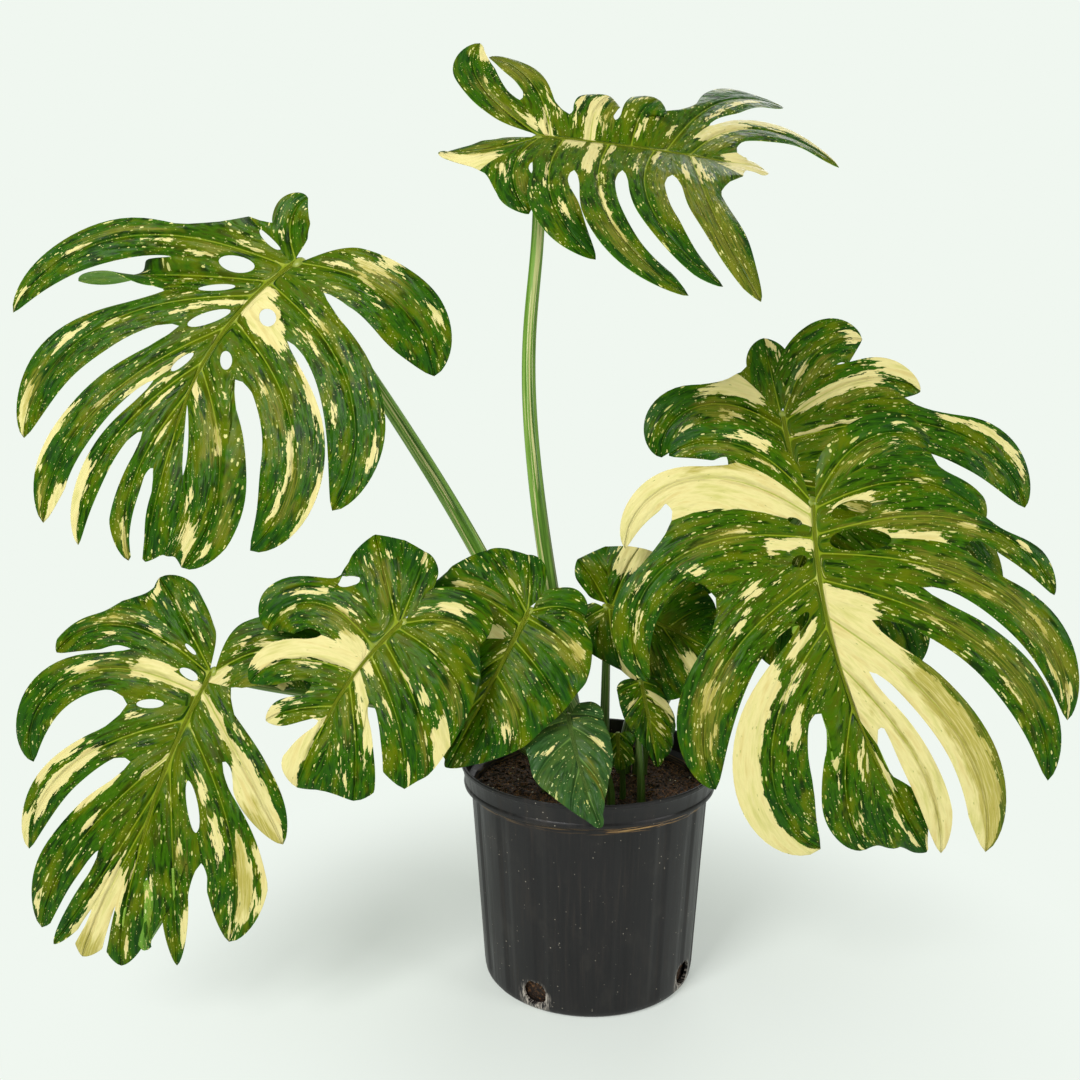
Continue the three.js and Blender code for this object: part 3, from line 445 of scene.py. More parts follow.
turns = node(bits_tree, "FunctionNodeRandomValue", {
    "Min": node(bits_tree, "CombineXYZ", lean, lean, 0.0),
    "Max": node(bits_tree, "CombineXYZ", given["Tilt"], given["Tilt"], 2 * math.pi), "Seed": given["Seed"],
}, data_type="FLOAT_VECTOR")
end_tree(bits_tree, node(bits_tree, "GeometryNodeInstanceOnPoints", {
    "Points": scatter, "Instance": chip, "Rotation": turns, "Scale": sizes,
}), given["Material"])


BIT_GRAIN, TONE_REACH = 0.6667, 7.143


def bit_material(name, roughness, bump, *tones):
    """A dull, finely grained solid whose colour wanders between tones from one bit to the next."""
    new, tree = material(name)
    spot = node(tree, "TexCoord").outputs["Object"]
    wander = node(tree, "TexNoise", {"Vector": spot, "Scale": 1 / (TONE_REACH * MM), "Detail": 2.0})
    grain = node(tree, "TexNoise", {"Vector": spot, "Scale": 1 / (BIT_GRAIN * MM), "Detail": 3.0})
    stops = [(0.36 + 0.28 * i / (len(tones) - 1), tone) for i, tone in enumerate(tones)]
    node(tree, "OutputMaterial", node(tree, "BsdfPrincipled", {
        "Base Color": node(tree, "ValToRGB", wander, stops=stops), "Roughness": roughness,
        "Normal": node(tree, "Bump", {"Height": grain, "Strength": bump, "Distance": 0.0008}),
    }))
    return new


bark = bit_material("composted_bark", 0.8, 0.7, "#1c1009", "#3d2715", "#6b4626", "#24160d")
peat_fibre = bit_material("peat_fibre", 0.75, 0.4, "#6b4522", "#a8763c", "#3c2713", "#c28f52")
perlite = bit_material("expanded_perlite", 0.9, 0.8, "#a99d8b", "#d6cdbf", "#b8ab97")
for name, finish, density, least, most, tilt, seed in (
    # bits to a square metre, least and greatest size, tilt in radians
    ("soil_crumbs", bark, 42000, (1.6, 1.4, 1.0), (4.6, 3.8, 3.0), 0.7, 3),
    ("soil_bark", bark, 7000, (5.0, 3.0, 1.6), (11.0, 6.0, 3.4), 0.35, 5),
    ("soil_fibres", peat_fibre, 12000, (5.0, 0.5, 0.5), (13.0, 0.9, 0.8), 0.4, 8),
    ("soil_perlite", perlite, 1500, (1.6, 1.5, 1.3), (3.6, 3.2, 2.6), 0.5, 13),
):
    loose = grown(name, soil_mesh.copy(), bits_tree, bits_in, {
        "Density": float(density), "Shortest": [c * MM for c in least], "Longest": [c * MM for c in most],
        "Tilt": tilt, "Seed": seed, "Material": finish,
    })
    piece = add_object(name, loose)
    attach(piece, "root")

# Stalks. Eleven leaf stalks stand in the soil, thick and sheathed at the foot and slender at the blade.
# Fresh, fleshy and ribbed along their length; green, with the cream streaks of the variegated plant.

# A stalk stands at `root`, rises by `rise` and leans sideways by `lean` before it turns to its blade, which
# it reaches at `joint`; `face` is the azimuth and elevation the blade looks to, and `turn` how much of that
# outlook the stalk takes on.
STALKS = {
    "upper_left": dict(joint=(-303, 0, 769), face=(-95, 25), root=(-28, 6), radii=(10.5, 7.5),
                       rise=191, lean=-18, reach=77, turn=0.9),
    "upper_middle": dict(joint=(-56, 30, 898), face=(-88, 52), root=(-4, 14), radii=(10, 6.5),
                         rise=517, lean=-104, reach=200, turn=0.8),
    "right_front": dict(joint=(220, -60, 529), face=(-92, 20), root=(58, 26), radii=(8.5, 5.5),
                        rise=90, reach=90, turn=1),
    "right_back": dict(joint=(217, 80, 612), face=(-92, 20), root=(40, 30), radii=(8.5, 5),
                       rise=110, reach=70, turn=0.8),
    "lower_left": dict(joint=(-380, -95, 362), face=(-95, 22), root=(-44, -16), radii=(8, 5),
                       rise=90, reach=90, turn=0.8),
    "middle_left": dict(joint=(-186, -120, 419), face=(-92, 28), root=(-16, -22), radii=(7, 4.5),
                        rise=90, reach=60, turn=0.8),
    "middle": dict(joint=(-64, -82, 422), face=(-95, 32), root=(6, -34), radii=(7, 4.5),
                   rise=70, reach=50, turn=0.8),
    "middle_right": dict(joint=(16, -20, 413), face=(-98, 22), root=(16, -2), radii=(6, 4),
                         rise=80, reach=40, turn=0.6),
    "small_front": dict(joint=(-26, -108, 322), face=(-90, 48), root=(20, -64), radii=(4.5, 3),
                        rise=50, reach=25, turn=0.6),
    "small_right": dict(joint=(50, -62, 342), face=(-70, 15), root=(52, -58), radii=(4.5, 3),
                        rise=50, reach=30, turn=0.6),
    "small_inner": dict(joint=(27, -55, 285), face=(-100, 30), root=(34, -42), radii=(3.5, 2.2),
                        rise=40, reach=15, turn=0.5),
}
ROOT_DEPTH, COLLAR, NODE_GAP = 60.0, 8.0, 0.3
JOINT_SEAT = 1.5  # how far a stalk's end reaches into its joint
JOINT_LENGTH, JOINT_DROP = 3.0, 0.5  # of a joint and of its top behind the blade, in slim radii
STALK_RIBS, STALK_RIB_DEPTH = 7, 0.03
PATH_POINTS, STALK_ROWS, STALK_SIDES = 60, 90, 32
STREAK_UNIT = 333.33  # the length along a stalk that counts like its radius round it
FOOT_SHADE = (440, 220)  # heights from none to full


def unit(v):
    """v at length one, or zero where it has none."""
    return v / np.maximum(np.linalg.norm(v, axis=-1, keepdims=True), 1e-9)


def outlook(face):
    """The direction that a blade looks to, from its azimuth and elevation in degrees."""
    azimuth, elevation = np.radians(face)
    level = np.cos(elevation)
    return np.array([level * np.cos(azimuth), level * np.sin(azimuth), np.sin(elevation)])


def arrival(stalk):
    """Where a stalk ends under its blade, and the direction it arrives in."""
    joint, slim = np.array(stalk["joint"], float), stalk["radii"][1]
    chord = unit(joint - np.array([*stalk["root"], SOIL_LEVEL]))
    direction = unit(chord + outlook(stalk["face"]) * stalk["turn"])
    top = joint - outlook(stalk["face"]) * slim * JOINT_DROP
    return top - direction * slim * JOINT_LENGTH, direction


def stalk_path(stalk):
    """Points along a stalk's middle, and the share of their length that is in the soil."""
    end, direction = arrival(stalk)
    foot = np.array([*stalk["root"], SOIL_LEVEL - ROOT_DEPTH + NODE_GAP])
    collar = np.array([*stalk["root"], SOIL_LEVEL + COLLAR])
    tip = end + direction * JOINT_SEAT
    risen = collar + np.array([stalk.get("lean", 0), 0, stalk["rise"]])
    leaning = tip - direction * stalk["reach"]
    t = np.linspace(0, 1, PATH_POINTS)[:, None]
    curve = collar * (1 - t) ** 3 + risen * 3 * t * (1 - t) ** 2
    curve = curve + leaning * 3 * t ** 2 * (1 - t) + tip * t ** 3
    points = np.vstack([foot, curve])
    lengths = np.linalg.norm(np.diff(points, axis=0), axis=1)
    return points, lengths[0] / lengths.sum()


# One tree sweeps a ribbed round section along a path, wide in the soil and slim at the blade.
stalk_tree, stalk_in, given = geometry_tree("stalk_along_path", {
    "Path": ("Geometry", None), "Wide Radius": ("Float", 0.008), "Slim Radius": ("Float", 0.005),
    "Share in Soil": ("Float", 0.1), "Rib Depth": ("Float", 0.03), "Material": ("Material", None),
})
path = node(stalk_tree, "GeometryNodeMeshToCurve", given["Path"])
even = node(stalk_tree, "GeometryNodeResampleCurve", {"Curve": path, "Count": STALK_ROWS})
along = node(stalk_tree, "GeometryNodeSplineParameter").outputs
risen = node(stalk_tree, "MapRange", along["Factor"], given["Share in Soil"], 1.0, 1.0, 0.0)
swell = node(stalk_tree, "Math", risen, 1.2, operation="POWER")
extra = node(stalk_tree, "Math", given["Wide Radius"], given["Slim Radius"], operation="SUBTRACT")
radius = node(stalk_tree, "Math", given["Slim Radius"], product(stalk_tree, extra, swell), operation="ADD")
marked = node(stalk_tree, "GeometryNodeStoreNamedAttribute", {
    "Geometry": even, "Name": "along", "Value": along["Length"],
}, data_type="FLOAT", domain="POINT")
ring = node(stalk_tree, "GeometryNodeCurvePrimitiveCircle", {"Resolution": STALK_SIDES, "Radius": 1.0})
share = node(stalk_tree, "GeometryNodeSplineParameter").outputs["Factor"]
rib = node(stalk_tree, "Math", product(stalk_tree, share, 2 * math.pi * STALK_RIBS), operation="COSINE")
ribbed = node(stalk_tree, "VectorMath", {
    0: node(stalk_tree, "GeometryNodeInputPosition"),
    "Scale": node(stalk_tree, "Math", product(stalk_tree, rib, given["Rib Depth"]), 1.0, operation="ADD"),
}, operation="SCALE")
section = node(stalk_tree, "GeometryNodeStoreNamedAttribute", {
    "Geometry": node(stalk_tree, "GeometryNodeSetPosition", {"Geometry": ring, "Position": ribbed}),
    "Name": "around", "Value": share,
}, data_type="FLOAT", domain="POINT")
end_tree(stalk_tree, node(stalk_tree, "GeometryNodeCurveToMesh", {
    "Curve": marked, "Profile Curve": section, "Scale": radius, "Fill Caps": True,
}), given["Material"])

# Living petiole: smooth and waxy, bright green with darker and cream streaks drawn out along it, and darker
# in the shade at its foot.
petiole, tree = material("waxy_green_petiole")
length_along = node(tree, "Attribute", attribute_name="along").outputs["Fac"]
round_share = node(tree, "Attribute", attribute_name="around").outputs["Fac"]
full_turn = product(tree, round_share, 2 * math.pi)
lengthwise = node(tree, "CombineXYZ", {
    "X": node(tree, "Math", full_turn, operation="COSINE"),
    "Y": product(tree, length_along, 1 / (STREAK_UNIT * MM)),
    "Z": node(tree, "Math", full_turn, operation="SINE"),
})
green_streaks = node(tree, "TexNoise", {"Vector": lengthwise, "Scale": 1.6, "Detail": 4.0})
elsewhere = node(tree, "Mapping", {"Vector": lengthwise, "Location": (7, 3, 2), "Scale": (1, 0.7, 1)})
cream_streaks = node(tree, "TexNoise", {"Vector": elsewhere, "Scale": 2.4, "Detail": 3.0})
streaked = node(tree, "MapRange", cream_streaks, 0.565, 0.6, 0.0, 0.85, **EASED)
plant_place = node(tree, "SeparateXYZ", node(tree, "TexCoord").outputs["Object"]).outputs
shaded = node(tree, "MapRange", plant_place["Z"], *(h * MM for h in FOOT_SHADE), 0.0, 0.7, **EASED)
petiole_tone = node(tree, "ValToRGB", green_streaks, stops=(
    (0.34, "#3a5f10"), (0.47, "#5a8424"), (0.58, "#7fa546"), (0.7, "#4f781a"),
))
node(tree, "OutputMaterial", node(tree, "BsdfPrincipled", {
    "Base Color": layered(tree, petiole_tone, (streaked, linear("#c6c487")), (shaded, linear("#34501a"))),
    "Roughness": node(tree, "MapRange", green_streaks, 0.3, 0.7, 0.34, 0.46, **EASED), "IOR": 1.42,
    "Normal": node(tree, "Bump", {"Height": green_streaks, "Strength": 0.25, "Distance": 0.001}),
}))

for name, stalk in STALKS.items():
    points, buried = stalk_path(stalk)
    line = bpy.data.meshes.new(f"path_{name}")
    line.from_pydata(points * MM, [(i, i + 1) for i in range(len(points) - 1)], [])
    wide, slim = stalk["radii"]
    swept_mesh = grown(f"petiole_{name}", line, stalk_tree, stalk_in, {
        "Wide Radius": wide * MM, "Slim Radius": slim * MM, "Share in Soil": float(buried),
        "Rib Depth": STALK_RIB_DEPTH, "Material": petiole,
    })
    swept_mesh.polygons.foreach_set("use_smooth", [len(p.vertices) == 4 for p in swept_mesh.polygons])
    piece = add_object(f"petiole_{name}", swept_mesh)
    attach(piece, "root")
    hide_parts(f"stalk_{name}")

# Leaves. Eleven blades of one kind: a leathery, heart-shaped, variegated sheet about a millimetre thick, cut
# between its side veins and holed along the midrib, with a swollen joint where it sits on its stalk.


def lobe(at, angle, length, sweep, half, slit=100, slot=6, hole=None, rise=6, droop=22, twist=0,
         cream=(), tan=()):
    """A lobe: it leaves the midrib at the share `at` and the angle `angle`, is `length` long and `half` wide
    to each side, sweeps towards the leaf's tip, rises, droops and twists. Beyond the share `slit` it is
    parted from the next by a cut `slot` wide, with an opening `hole` (from, to, width) before it. `cream` and
    `tan` are its pale and olive patches: from and to along it, and from and to across it, where -100 is its
    edge to the lobe before and 100 its edge to the next. Shares are in percent."""
    return dict(
        at=at / 100, angle=angle, length=length, sweep=sweep, half=half, slit=slit / 100, slot=slot,
        hole=hole and (hole[0] / 100, hole[1] / 100, hole[2]), rise=rise, droop=droop, twist=twist,
        cream=np.array(cream).reshape(-1, 4) / 100, tan=np.array(tan).reshape(-1, 4) / 100,
    )


# A midrib starts at its joint, `length` long, at the angle `heading` from straight down, turns by `swerve`
# and bends down by `bend`. Its lobes go round from the left of the stalk.
BLADES = {
    "upper_left": dict(heading=-51, length=353, swerve=-63, bend=15, lobes=[
        lobe(0, -127, 202, 71, 36, 22, 6, rise=10, droop=45, cream=[(15, 32, -35, -12), (30, 46, -65, -30),
            (40, 50, -130, -65), (36, 44, -12, 12), (68, 80, -78, -55), (44, 52, 30, 50)],
            tan=[(30, 60, -60, 10)]),
        lobe(10, -93, 278, 85, 30, 23, 8, (6, 14, 17), cream=[(-20, 7, 10, 130), (-20, 20, 72, 130),
            (24, 36, 39, 58), (20, 34, -33, -13), (72, 84, -85, -60), (56, 68, 56, 76)],
            tan=[(30, 46, -45, -10)]),
        lobe(25, -77, 274, 98, 32, 19, 22, (5, 13, 15), cream=[(-20, 24, -130, -35), (50, 74, -2, 18),
            (33, 56, -130, -78), (66, 86, -130, -82), (72, 88, 10, 30), (26, 34, 46, 66)],
            tan=[(24, 54, 10, 62), (62, 86, -35, 10)]),
        lobe(42, -48, 219, 75, 32, 93, 4, (3, 45, 7), cream=[(-20, 14, 30, 62), (76, 120, 35, 72),
            (82, 93, -51, -31), (54, 70, 58, 78), (30, 44, -10, 10), (20, 30, -66, -46)],
            tan=[(18, 46, -10, 45), (60, 80, -80, -30)]),
        lobe(62, 0, 133, 1, 18, 39, 16),
        lobe(50, 14, 184, 45, 19, 36, 14, cream=[(78, 120, -25, 30), (10, 30, -50, -20)],
            tan=[(80, 120, -60, 60)]),
        lobe(40, 26, 233, 53, 14, 27, 10, (9, 19, 14), cream=[(64, 120, 10, 130), (12, 34, 43, 62),
            (10, 30, -54, -34)]),
        lobe(28, 29, 285, 58, 25, 21, 20, (3, 18, 17), cream=[(84, 120, -130, -35), (58, 82, 70, 130),
            (14, 42, -130, -70), (44, 54, -10, 10), (86, 120, 40, 60)], tan=[(84, 120, 10, 80),
            (30, 60, -50, 10)]),
        lobe(16, 46, 307, 82, 27, 38, 6, (10, 24, 13), cream=[(-20, 25, -60, -32), (58, 71, 30, 55),
            (82, 120, 15, 70), (22, 31, 40, 62), (44, 52, -20, 2)], tan=[(76, 90, -10, 70)]),
        lobe(10, 54, 243, 3, 21, 42, 4, (9, 23, 17), rise=-4, droop=18, twist=100),
        lobe(3, 61, 332, 79, 23, 32, 8, (9, 23, 11), cream=[(10, 20, 25, 45), (36, 46, -32, -12),
            (66, 76, 7, 28), (90, 120, 10, 50), (24, 34, -80, -60)], tan=[(10, 30, -70, -20),
            (40, 70, 10, 50)]),
        lobe(0, 111, 70, -91, 21, rise=25, droop=10, cream=[(30, 42, -40, -20)]),
    ]),
    "upper_middle": dict(heading=79, length=272, swerve=-37, bend=24, lobes=[
        lobe(0, -166, 145, 97, 23, 35, 6, rise=25, droop=10, cream=[(6, 22, 35, 130), (55, 66, 18, 38),
            (80, 120, 40, 130)], tan=[(10, 60, -40, 30)]),
        lobe(5, -107, 133, -70, 17, 30, 10, rise=25, droop=20, cream=[(-20, 16, -130, -30),
            (-20, 30, -20, 5), (20, 50, 46, 66)], tan=[(50, 120, -130, 130)]),
        lobe(20, -89, 75, 38, 25, 40, 8, rise=25, droop=25, cream=[(-20, 120, -35, 25), (20, 80, -87, -67),
            (10, 50, 50, 70)], tan=[(20, 120, 30, 130)]),
        lobe(36, -78, 86, 35, 25, 35, 8, rise=25, droop=25, cream=[(10, 50, 7, 28), (60, 90, -60, -40),
            (20, 45, 67, 87)]),
        lobe(50, -58, 314, 38, 25, 30, 8, cream=[(30, 50, 55, 75), (50, 80, 35, 60), (10, 20, -50, -30)]),
        lobe(60, -48, 270, 87, 25, 30, 8, cream=[(15, 50, -130, 10), (50, 120, -130, -35),
            (62, 70, -30, -10)], tan=[(10, 50, 30, 80)]),
        lobe(74, 0, 66, 18, 17, 30, 8, cream=[(10, 120, -130, 130)]),
        lobe(60, 103, 236, 42, 25, 25, 16, droop=30, cream=[(-20, 30, -23, -2), (15, 30, 45, 65)],
            tan=[(30, 120, -60, 130)]),
        lobe(45, 115, 239, 103, 23, 25, 14, droop=30, cream=[(-20, 18, -40, -15), (10, 30, 35, 55)],
            tan=[(20, 60, -130, -30)]),
        lobe(27, 105, 259, 97, 25, 30, 14, droop=30, cream=[(-20, 30, 25, 75), (-20, 20, -30, -10),
            (30, 70, -17, 3)], tan=[(55, 90, -20, 70)]),
        lobe(10, 101, 202, 75, 24, 35, 10, droop=30, cream=[(-20, 8, -130, 0), (30, 50, 5, 25),
            (60, 75, -40, -20)], tan=[(50, 75, -130, -50)]),
        lobe(1, 112, 130, 76, 23, 70, 4, droop=35, cream=[(50, 66, 20, 50), (30, 40, -30, -10)],
            tan=[(50, 80, -80, -10)]),
        lobe(0, 128, 123, -133, 19, droop=35, cream=[(45, 85, -130, -30), (10, 30, 20, 40)],
            tan=[(30, 80, -40, 40)]),
    ]),
    "right_front": dict(heading=-1, length=381, swerve=-41, bend=22, lobes=[
        lobe(0, -153, 156, 102, 23, 80, 3, cream=[(30, 36, 25, 50), (62, 70, 28, 47), (75, 83, -53, -32)],
            tan=[(20, 60, 10, 70)]),
        lobe(2, -116, 190, 86, 27, 75, 4, (7, 25, 17), cream=[(8, 30, 40, 130), (55, 63, -10, 10),
            (74, 84, 43, 62)]),
        lobe(9, -103, 271, 84, 19, 48, 6, (4, 24, 24), cream=[(20, 44, 62, 130), (50, 60, 7, 28),
            (26, 34, -53, -33), (72, 84, -32, -12)], tan=[(10, 60, -30, 60)]),
        lobe(14, -83, 330, 90, 23, 31, 14, cream=[(64, 74, -31, -11), (80, 93, 35, 55), (28, 36, 5, 25),
            (46, 55, 25, 45), (90, 120, -40, 10)], tan=[(30, 90, -60, 50)]),
        lobe(21, -68, 323, 77, 23, 16, 20, cream=[(-20, 18, 20, 130), (30, 38, 7, 27), (50, 57, -28, -7),
            (62, 72, 26, 46), (24, 32, -62, -43)], tan=[(30, 80, -50, 30)]),
        lobe(31, -44, 294, 61, 26, 17, 14, cream=[(-20, 30, -130, 130), (25, 120, -70, 130)],
            tan=[(30, 120, -130, 40)]),
        lobe(44, -27, 219, 42, 17, 18, 6, cream=[(-20, 120, -130, 130)], tan=[(10, 90, -15, 20)]),
        lobe(74, 0, 98, 8, 25, 94, 3, cream=[(34, 86, 30, 52), (80, 120, -130, -40), (-20, 30, -40, 0)]),
        lobe(55, 32, 150, 51, 25, 24, 10, cream=[(86, 120, 25, 50), (16, 40, -58, -39), (70, 84, -35, -15),
            (40, 60, 26, 46), (8, 30, -87, -67)]),
        lobe(33, 49, 256, 102, 38, 13, 10, (7, 17, 12), cream=[(28, 120, 30, 130), (30, 50, -72, -42),
            (6, 22, 35, 80), (18, 34, -13, 7)]),
        lobe(20, 62, 259, 84, 29, 40, 16, (3, 9, 12), cream=[(56, 70, -10, 30), (32, 42, 27, 47),
            (20, 32, 50, 80), (74, 84, -43, -23), (12, 20, -50, -30)], tan=[(50, 90, -50, 50)]),
        lobe(10, 98, 284, 137, 24, 56, 10, (4, 10, 7), cream=[(-20, 18, -62, -10), (22, 34, 10, 30),
            (60, 70, 30, 50), (74, 84, -30, -10), (40, 50, -53, -33)], tan=[(20, 50, -20, 30)]),
        lobe(4, 122, 232, 120, 17, 44, 5, cream=[(-20, 120, -130, 130)], tan=[(30, 60, 50, 130)]),
        lobe(0, 139, 167, 88, 21, cream=[(40, 60, 20, 75), (30, 38, -40, -20), (16, 24, 10, 30)],
            tan=[(30, 80, -60, -10)]),
    ]),
    "right_back": dict(heading=8, length=319, swerve=-13, bend=20, lobes=[
        lobe(0, -153, 141, 77, 32, 55, 4, cream=[(30, 50, -10, 10), (86, 120, -50, 50)],
            tan=[(20, 60, 20, 80)]),
        lobe(3, -119, 170, 68, 27, 58, 4, cream=[(8, 72, -35, 30), (70, 120, -130, -20)],
            tan=[(20, 60, 30, 80)]),
        lobe(10, -96, 305, 88, 32, 40, 8, cream=[(-20, 30, -30, -10), (44, 50, 10, 30), (60, 90, -80, -50)],
            tan=[(10, 40, 20, 70)]),
        lobe(26, -68, 275, 64, 36, 40, 8, cream=[(20, 30, 20, 40)], tan=[(10, 50, -20, 40)]),
        lobe(44, -39, 194, 41, 36, 50, 6, cream=[(30, 40, -20, 0)]),
        lobe(72, 0, 90, 5, 32, 50, 6),
        lobe(46, 36, 147, 28, 36, 40, 8, cream=[(30, 40, 10, 30)]),
        lobe(26, 73, 166, 67, 36, 40, 8, cream=[(30, 42, 20, 40)]),
        lobe(6, 131, 178, 132, 34, 55, 6, cream=[(24, 60, 30, 130), (30, 40, -30, -10), (66, 80, -70, -40)],
            tan=[(30, 60, -40, 20)]),
        lobe(0, 176, 93, -7, 25, cream=[(50, 75, 40, 65), (80, 120, 10, 60)]),
    ]),
    "lower_left": dict(heading=-26, length=299, swerve=-23, bend=14, lobes=[
        lobe(0, -149, 144, 127, 38, 16, 6, cream=[(36, 120, -30, 35), (-20, 13, 0, 130), (20, 28, -50, -20),
            (50, 70, 60, 130)], tan=[(20, 50, 50, 130)]),
        lobe(7, -60, 171, 10, 21, 32, 20, cream=[(-20, 50, -20, 28), (42, 120, -45, 130),
            (30, 40, -80, -60)], tan=[(70, 120, 20, 130)]),
        lobe(18, -55, 223, 52, 33, 57, 12, (19, 43, 13), cream=[(20, 36, 42, 80), (42, 63, 30, 56),
            (56, 94, -62, -8), (62, 86, -130, -80), (84, 120, 10, 30)], tan=[(55, 90, -60, 0)]),
        lobe(32, -27, 195, 9, 14, 46, 3, (45, 90, 15), cream=[(72, 92, -130, -50), (48, 60, 82, 130),
            (40, 50, -50, -30), (25, 35, 25, 45)], tan=[(30, 60, -60, -10)]),
        lobe(60, 0, 120, 10, 25, 55, 3, cream=[(34, 62, 40, 130), (78, 90, -40, -20), (10, 30, 5, 25)]),
        lobe(52, 12, 149, 3, 25, 69, 4, cream=[(30, 120, -130, 130)], tan=[(80, 120, -130, 130)]),
        lobe(42, 12, 184, -14, 13, 48, 8, cream=[(44, 86, -130, -40), (30, 40, -20, 0)]),
        lobe(30, 29, 215, 35, 28, 23, 14, cream=[(30, 50, 75, 130), (42, 56, 9, 29), (-20, 17, -15, 20),
            (86, 94, 40, 80), (60, 68, -43, -23)]),
        lobe(18, 54, 218, 74, 19, 28, 14, (12, 24, 9), cream=[(40, 86, -42, 28), (46, 72, 60, 130),
            (83, 120, 20, 130), (20, 28, 50, 72)]),
        lobe(8, 88, 239, 133, 23, 39, 5, (3, 13, 9), cream=[(-20, 31, -20, 85), (46, 58, 10, 55),
            (36, 42, 48, 68)], tan=[(30, 50, -30, 30)]),
        lobe(1, 102, 189, 90, 25, 85, 3, (15, 25, 6), cream=[(60, 75, 20, 40), (46, 54, 40, 60),
            (20, 30, -10, 10), (56, 62, -60, -30), (34, 42, 7, 28)], tan=[(50, 80, 10, 60)]),
        lobe(0, 123, 117, 10, 27, cream=[(80, 120, -75, -40), (50, 58, 40, 60), (30, 36, 30, 50),
            (62, 68, -10, 10)]),
    ]),
    "middle_left": dict(heading=-46, length=186, swerve=-30, bend=18, lobes=[
        lobe(0, -146, 82, 72, 36, cream=[(40, 70, -60, -25), (14, 28, -50, -30)], tan=[(30, 80, -20, 60)]),
        lobe(4, -104, 115, 59, 36, cream=[(50, 56, 5, 25)], tan=[(50, 90, 10, 70)]),
        lobe(14, -74, 135, 31, 36, cream=[(26, 40, -15, 5), (46, 58, -62, -35), (74, 120, -130, -20),
            (70, 90, -3, 17)], tan=[(60, 90, 10, 60)]),
        lobe(24, -68, 132, 36, 32, 27, 10, cream=[(-20, 10, 20, 80), (84, 120, -40, -15),
            (30, 50, 25, 45)]),
        lobe(42, -45, 110, 22, 32, 94, 3, cream=[(-20, 22, -130, -35), (22, 62, -130, -50),
            (30, 38, -32, -12), (62, 70, -53, -32), (76, 88, 38, 58), (50, 56, 58, 78)],
            tan=[(10, 40, 10, 50)]),
        lobe(66, 0, 65, 8, 23, 15, 6, cream=[(-20, 120, 10, 130)]),
        lobe(56, 59, 69, 28, 13, 33, 10, cream=[(10, 30, -130, -70), (78, 120, -130, 130),
            (50, 66, 50, 130)]),
        lobe(36, 75, 113, 72, 21, 39, 8, cream=[(-20, 90, 5, 130), (30, 50, -31, -11)]),
        lobe(20, 102, 136, 123, 36, 68, 4, (52, 66, 21), cream=[(-20, 24, -130, -30), (26, 42, 10, 35),
            (56, 72, 28, 55), (72, 80, -20, 0)], tan=[(15, 50, -60, 20)]),
        lobe(3, 119, 98, 2, 36, cream=[(62, 72, -50, -30), (74, 82, 30, 50)], tan=[(20, 70, -40, 40)]),
        lobe(0, 153, 74, 10, 19, cream=[(30, 50, -50, -30), (80, 120, -10, 40)]),
    ]),
    "middle": dict(heading=-24, length=174, swerve=5, bend=22, lobes=[
        lobe(0, -130, 56, 58, 21),
        lobe(5, -85, 88, 43, 27, cream=[(60, 80, -50, 10)], tan=[(20, 90, -50, 70)]),
        lobe(20, -67, 85, 19, 27),
        lobe(42, -61, 77, 45, 27, cream=[(50, 80, 20, 50)], tan=[(20, 70, -50, 30)]),
        lobe(70, 0, 54, -3, 23),
        lobe(55, 17, 67, 18, 21, cream=[(30, 60, -20, 10)], tan=[(20, 90, -40, 40)]),
        lobe(30, 31, 41, 21, 21, 40, 8),
        lobe(10, 105, 122, 79, 32, cream=[(10, 90, -130, -55), (50, 70, 20, 40)], tan=[(20, 70, 0, 80)]),
        lobe(2, 127, 82, 11, 27, cream=[(30, 50, 0, 30)]),
        lobe(0, 159, 61, 17, 17),
    ]),
    "middle_right": dict(heading=77, length=126, swerve=16, bend=16, lobes=[
        lobe(0, -132, 57, -17, 15, rise=20),
        lobe(5, -85, 68, 13, 19, rise=15, cream=[(50, 120, -60, 60)]),
        lobe(30, -70, 72, 18, 21, cream=[(30, 60, -20, 20)], tan=[(20, 80, -30, 70)]),
        lobe(55, -61, 56, 39, 17),
        lobe(75, 0, 33, 1, 15),
        lobe(50, 33, 81, -7, 19, cream=[(40, 120, -70, 20)]),
        lobe(25, 55, 93, 13, 21, cream=[(20, 50, 10, 40)], tan=[(20, 70, -60, 20)]),
        lobe(3, 70, 67, 18, 17, droop=35, cream=[(40, 120, -80, -10)]),
        lobe(0, 139, 34, 18, 13),
    ]),
    "small_front": dict(heading=7, length=117, swerve=-16, bend=18, lobes=[
        lobe(0, -84, 33, 26, 15),
        lobe(12, -49, 54, 33, 17, cream=[(30, 80, -30, 10)]),
        lobe(40, -28, 47, 27, 17, tan=[(20, 80, -60, 50)]),
        lobe(70, 0, 35, 6, 13),
        lobe(50, 32, 41, 18, 17),
        lobe(22, 58, 56, 26, 21, cream=[(30, 60, 10, 50)]),
        lobe(5, 79, 48, 32, 21),
        lobe(0, 133, 24, 16, 13),
    ]),
    "small_right": dict(heading=7, length=91, swerve=-5, bend=16, lobes=[
        lobe(0, -62, 23, 17, 10),
        lobe(15, -46, 46, 22, 13, cream=[(10, 90, -130, 30)]),
        lobe(45, -34, 41, 17, 10, cream=[(10, 60, -50, 10)]),
        lobe(72, 0, 26, 4, 8),
        lobe(45, 19, 29, 14, 10),
        lobe(15, 57, 31, 19, 13, cream=[(30, 80, 20, 80)]),
        lobe(0, 86, 26, 15, 8),
    ]),
    "small_inner": dict(heading=6, length=36, swerve=0, bend=10, lobes=[
        lobe(0, -49, 18, 16, 8),
        lobe(30, -43, 24, 18, 8),
        lobe(70, 0, 13, 3, 7),
        lobe(30, 36, 21, 17, 8),
        lobe(0, 45, 15, 16, 7),
    ]),
}
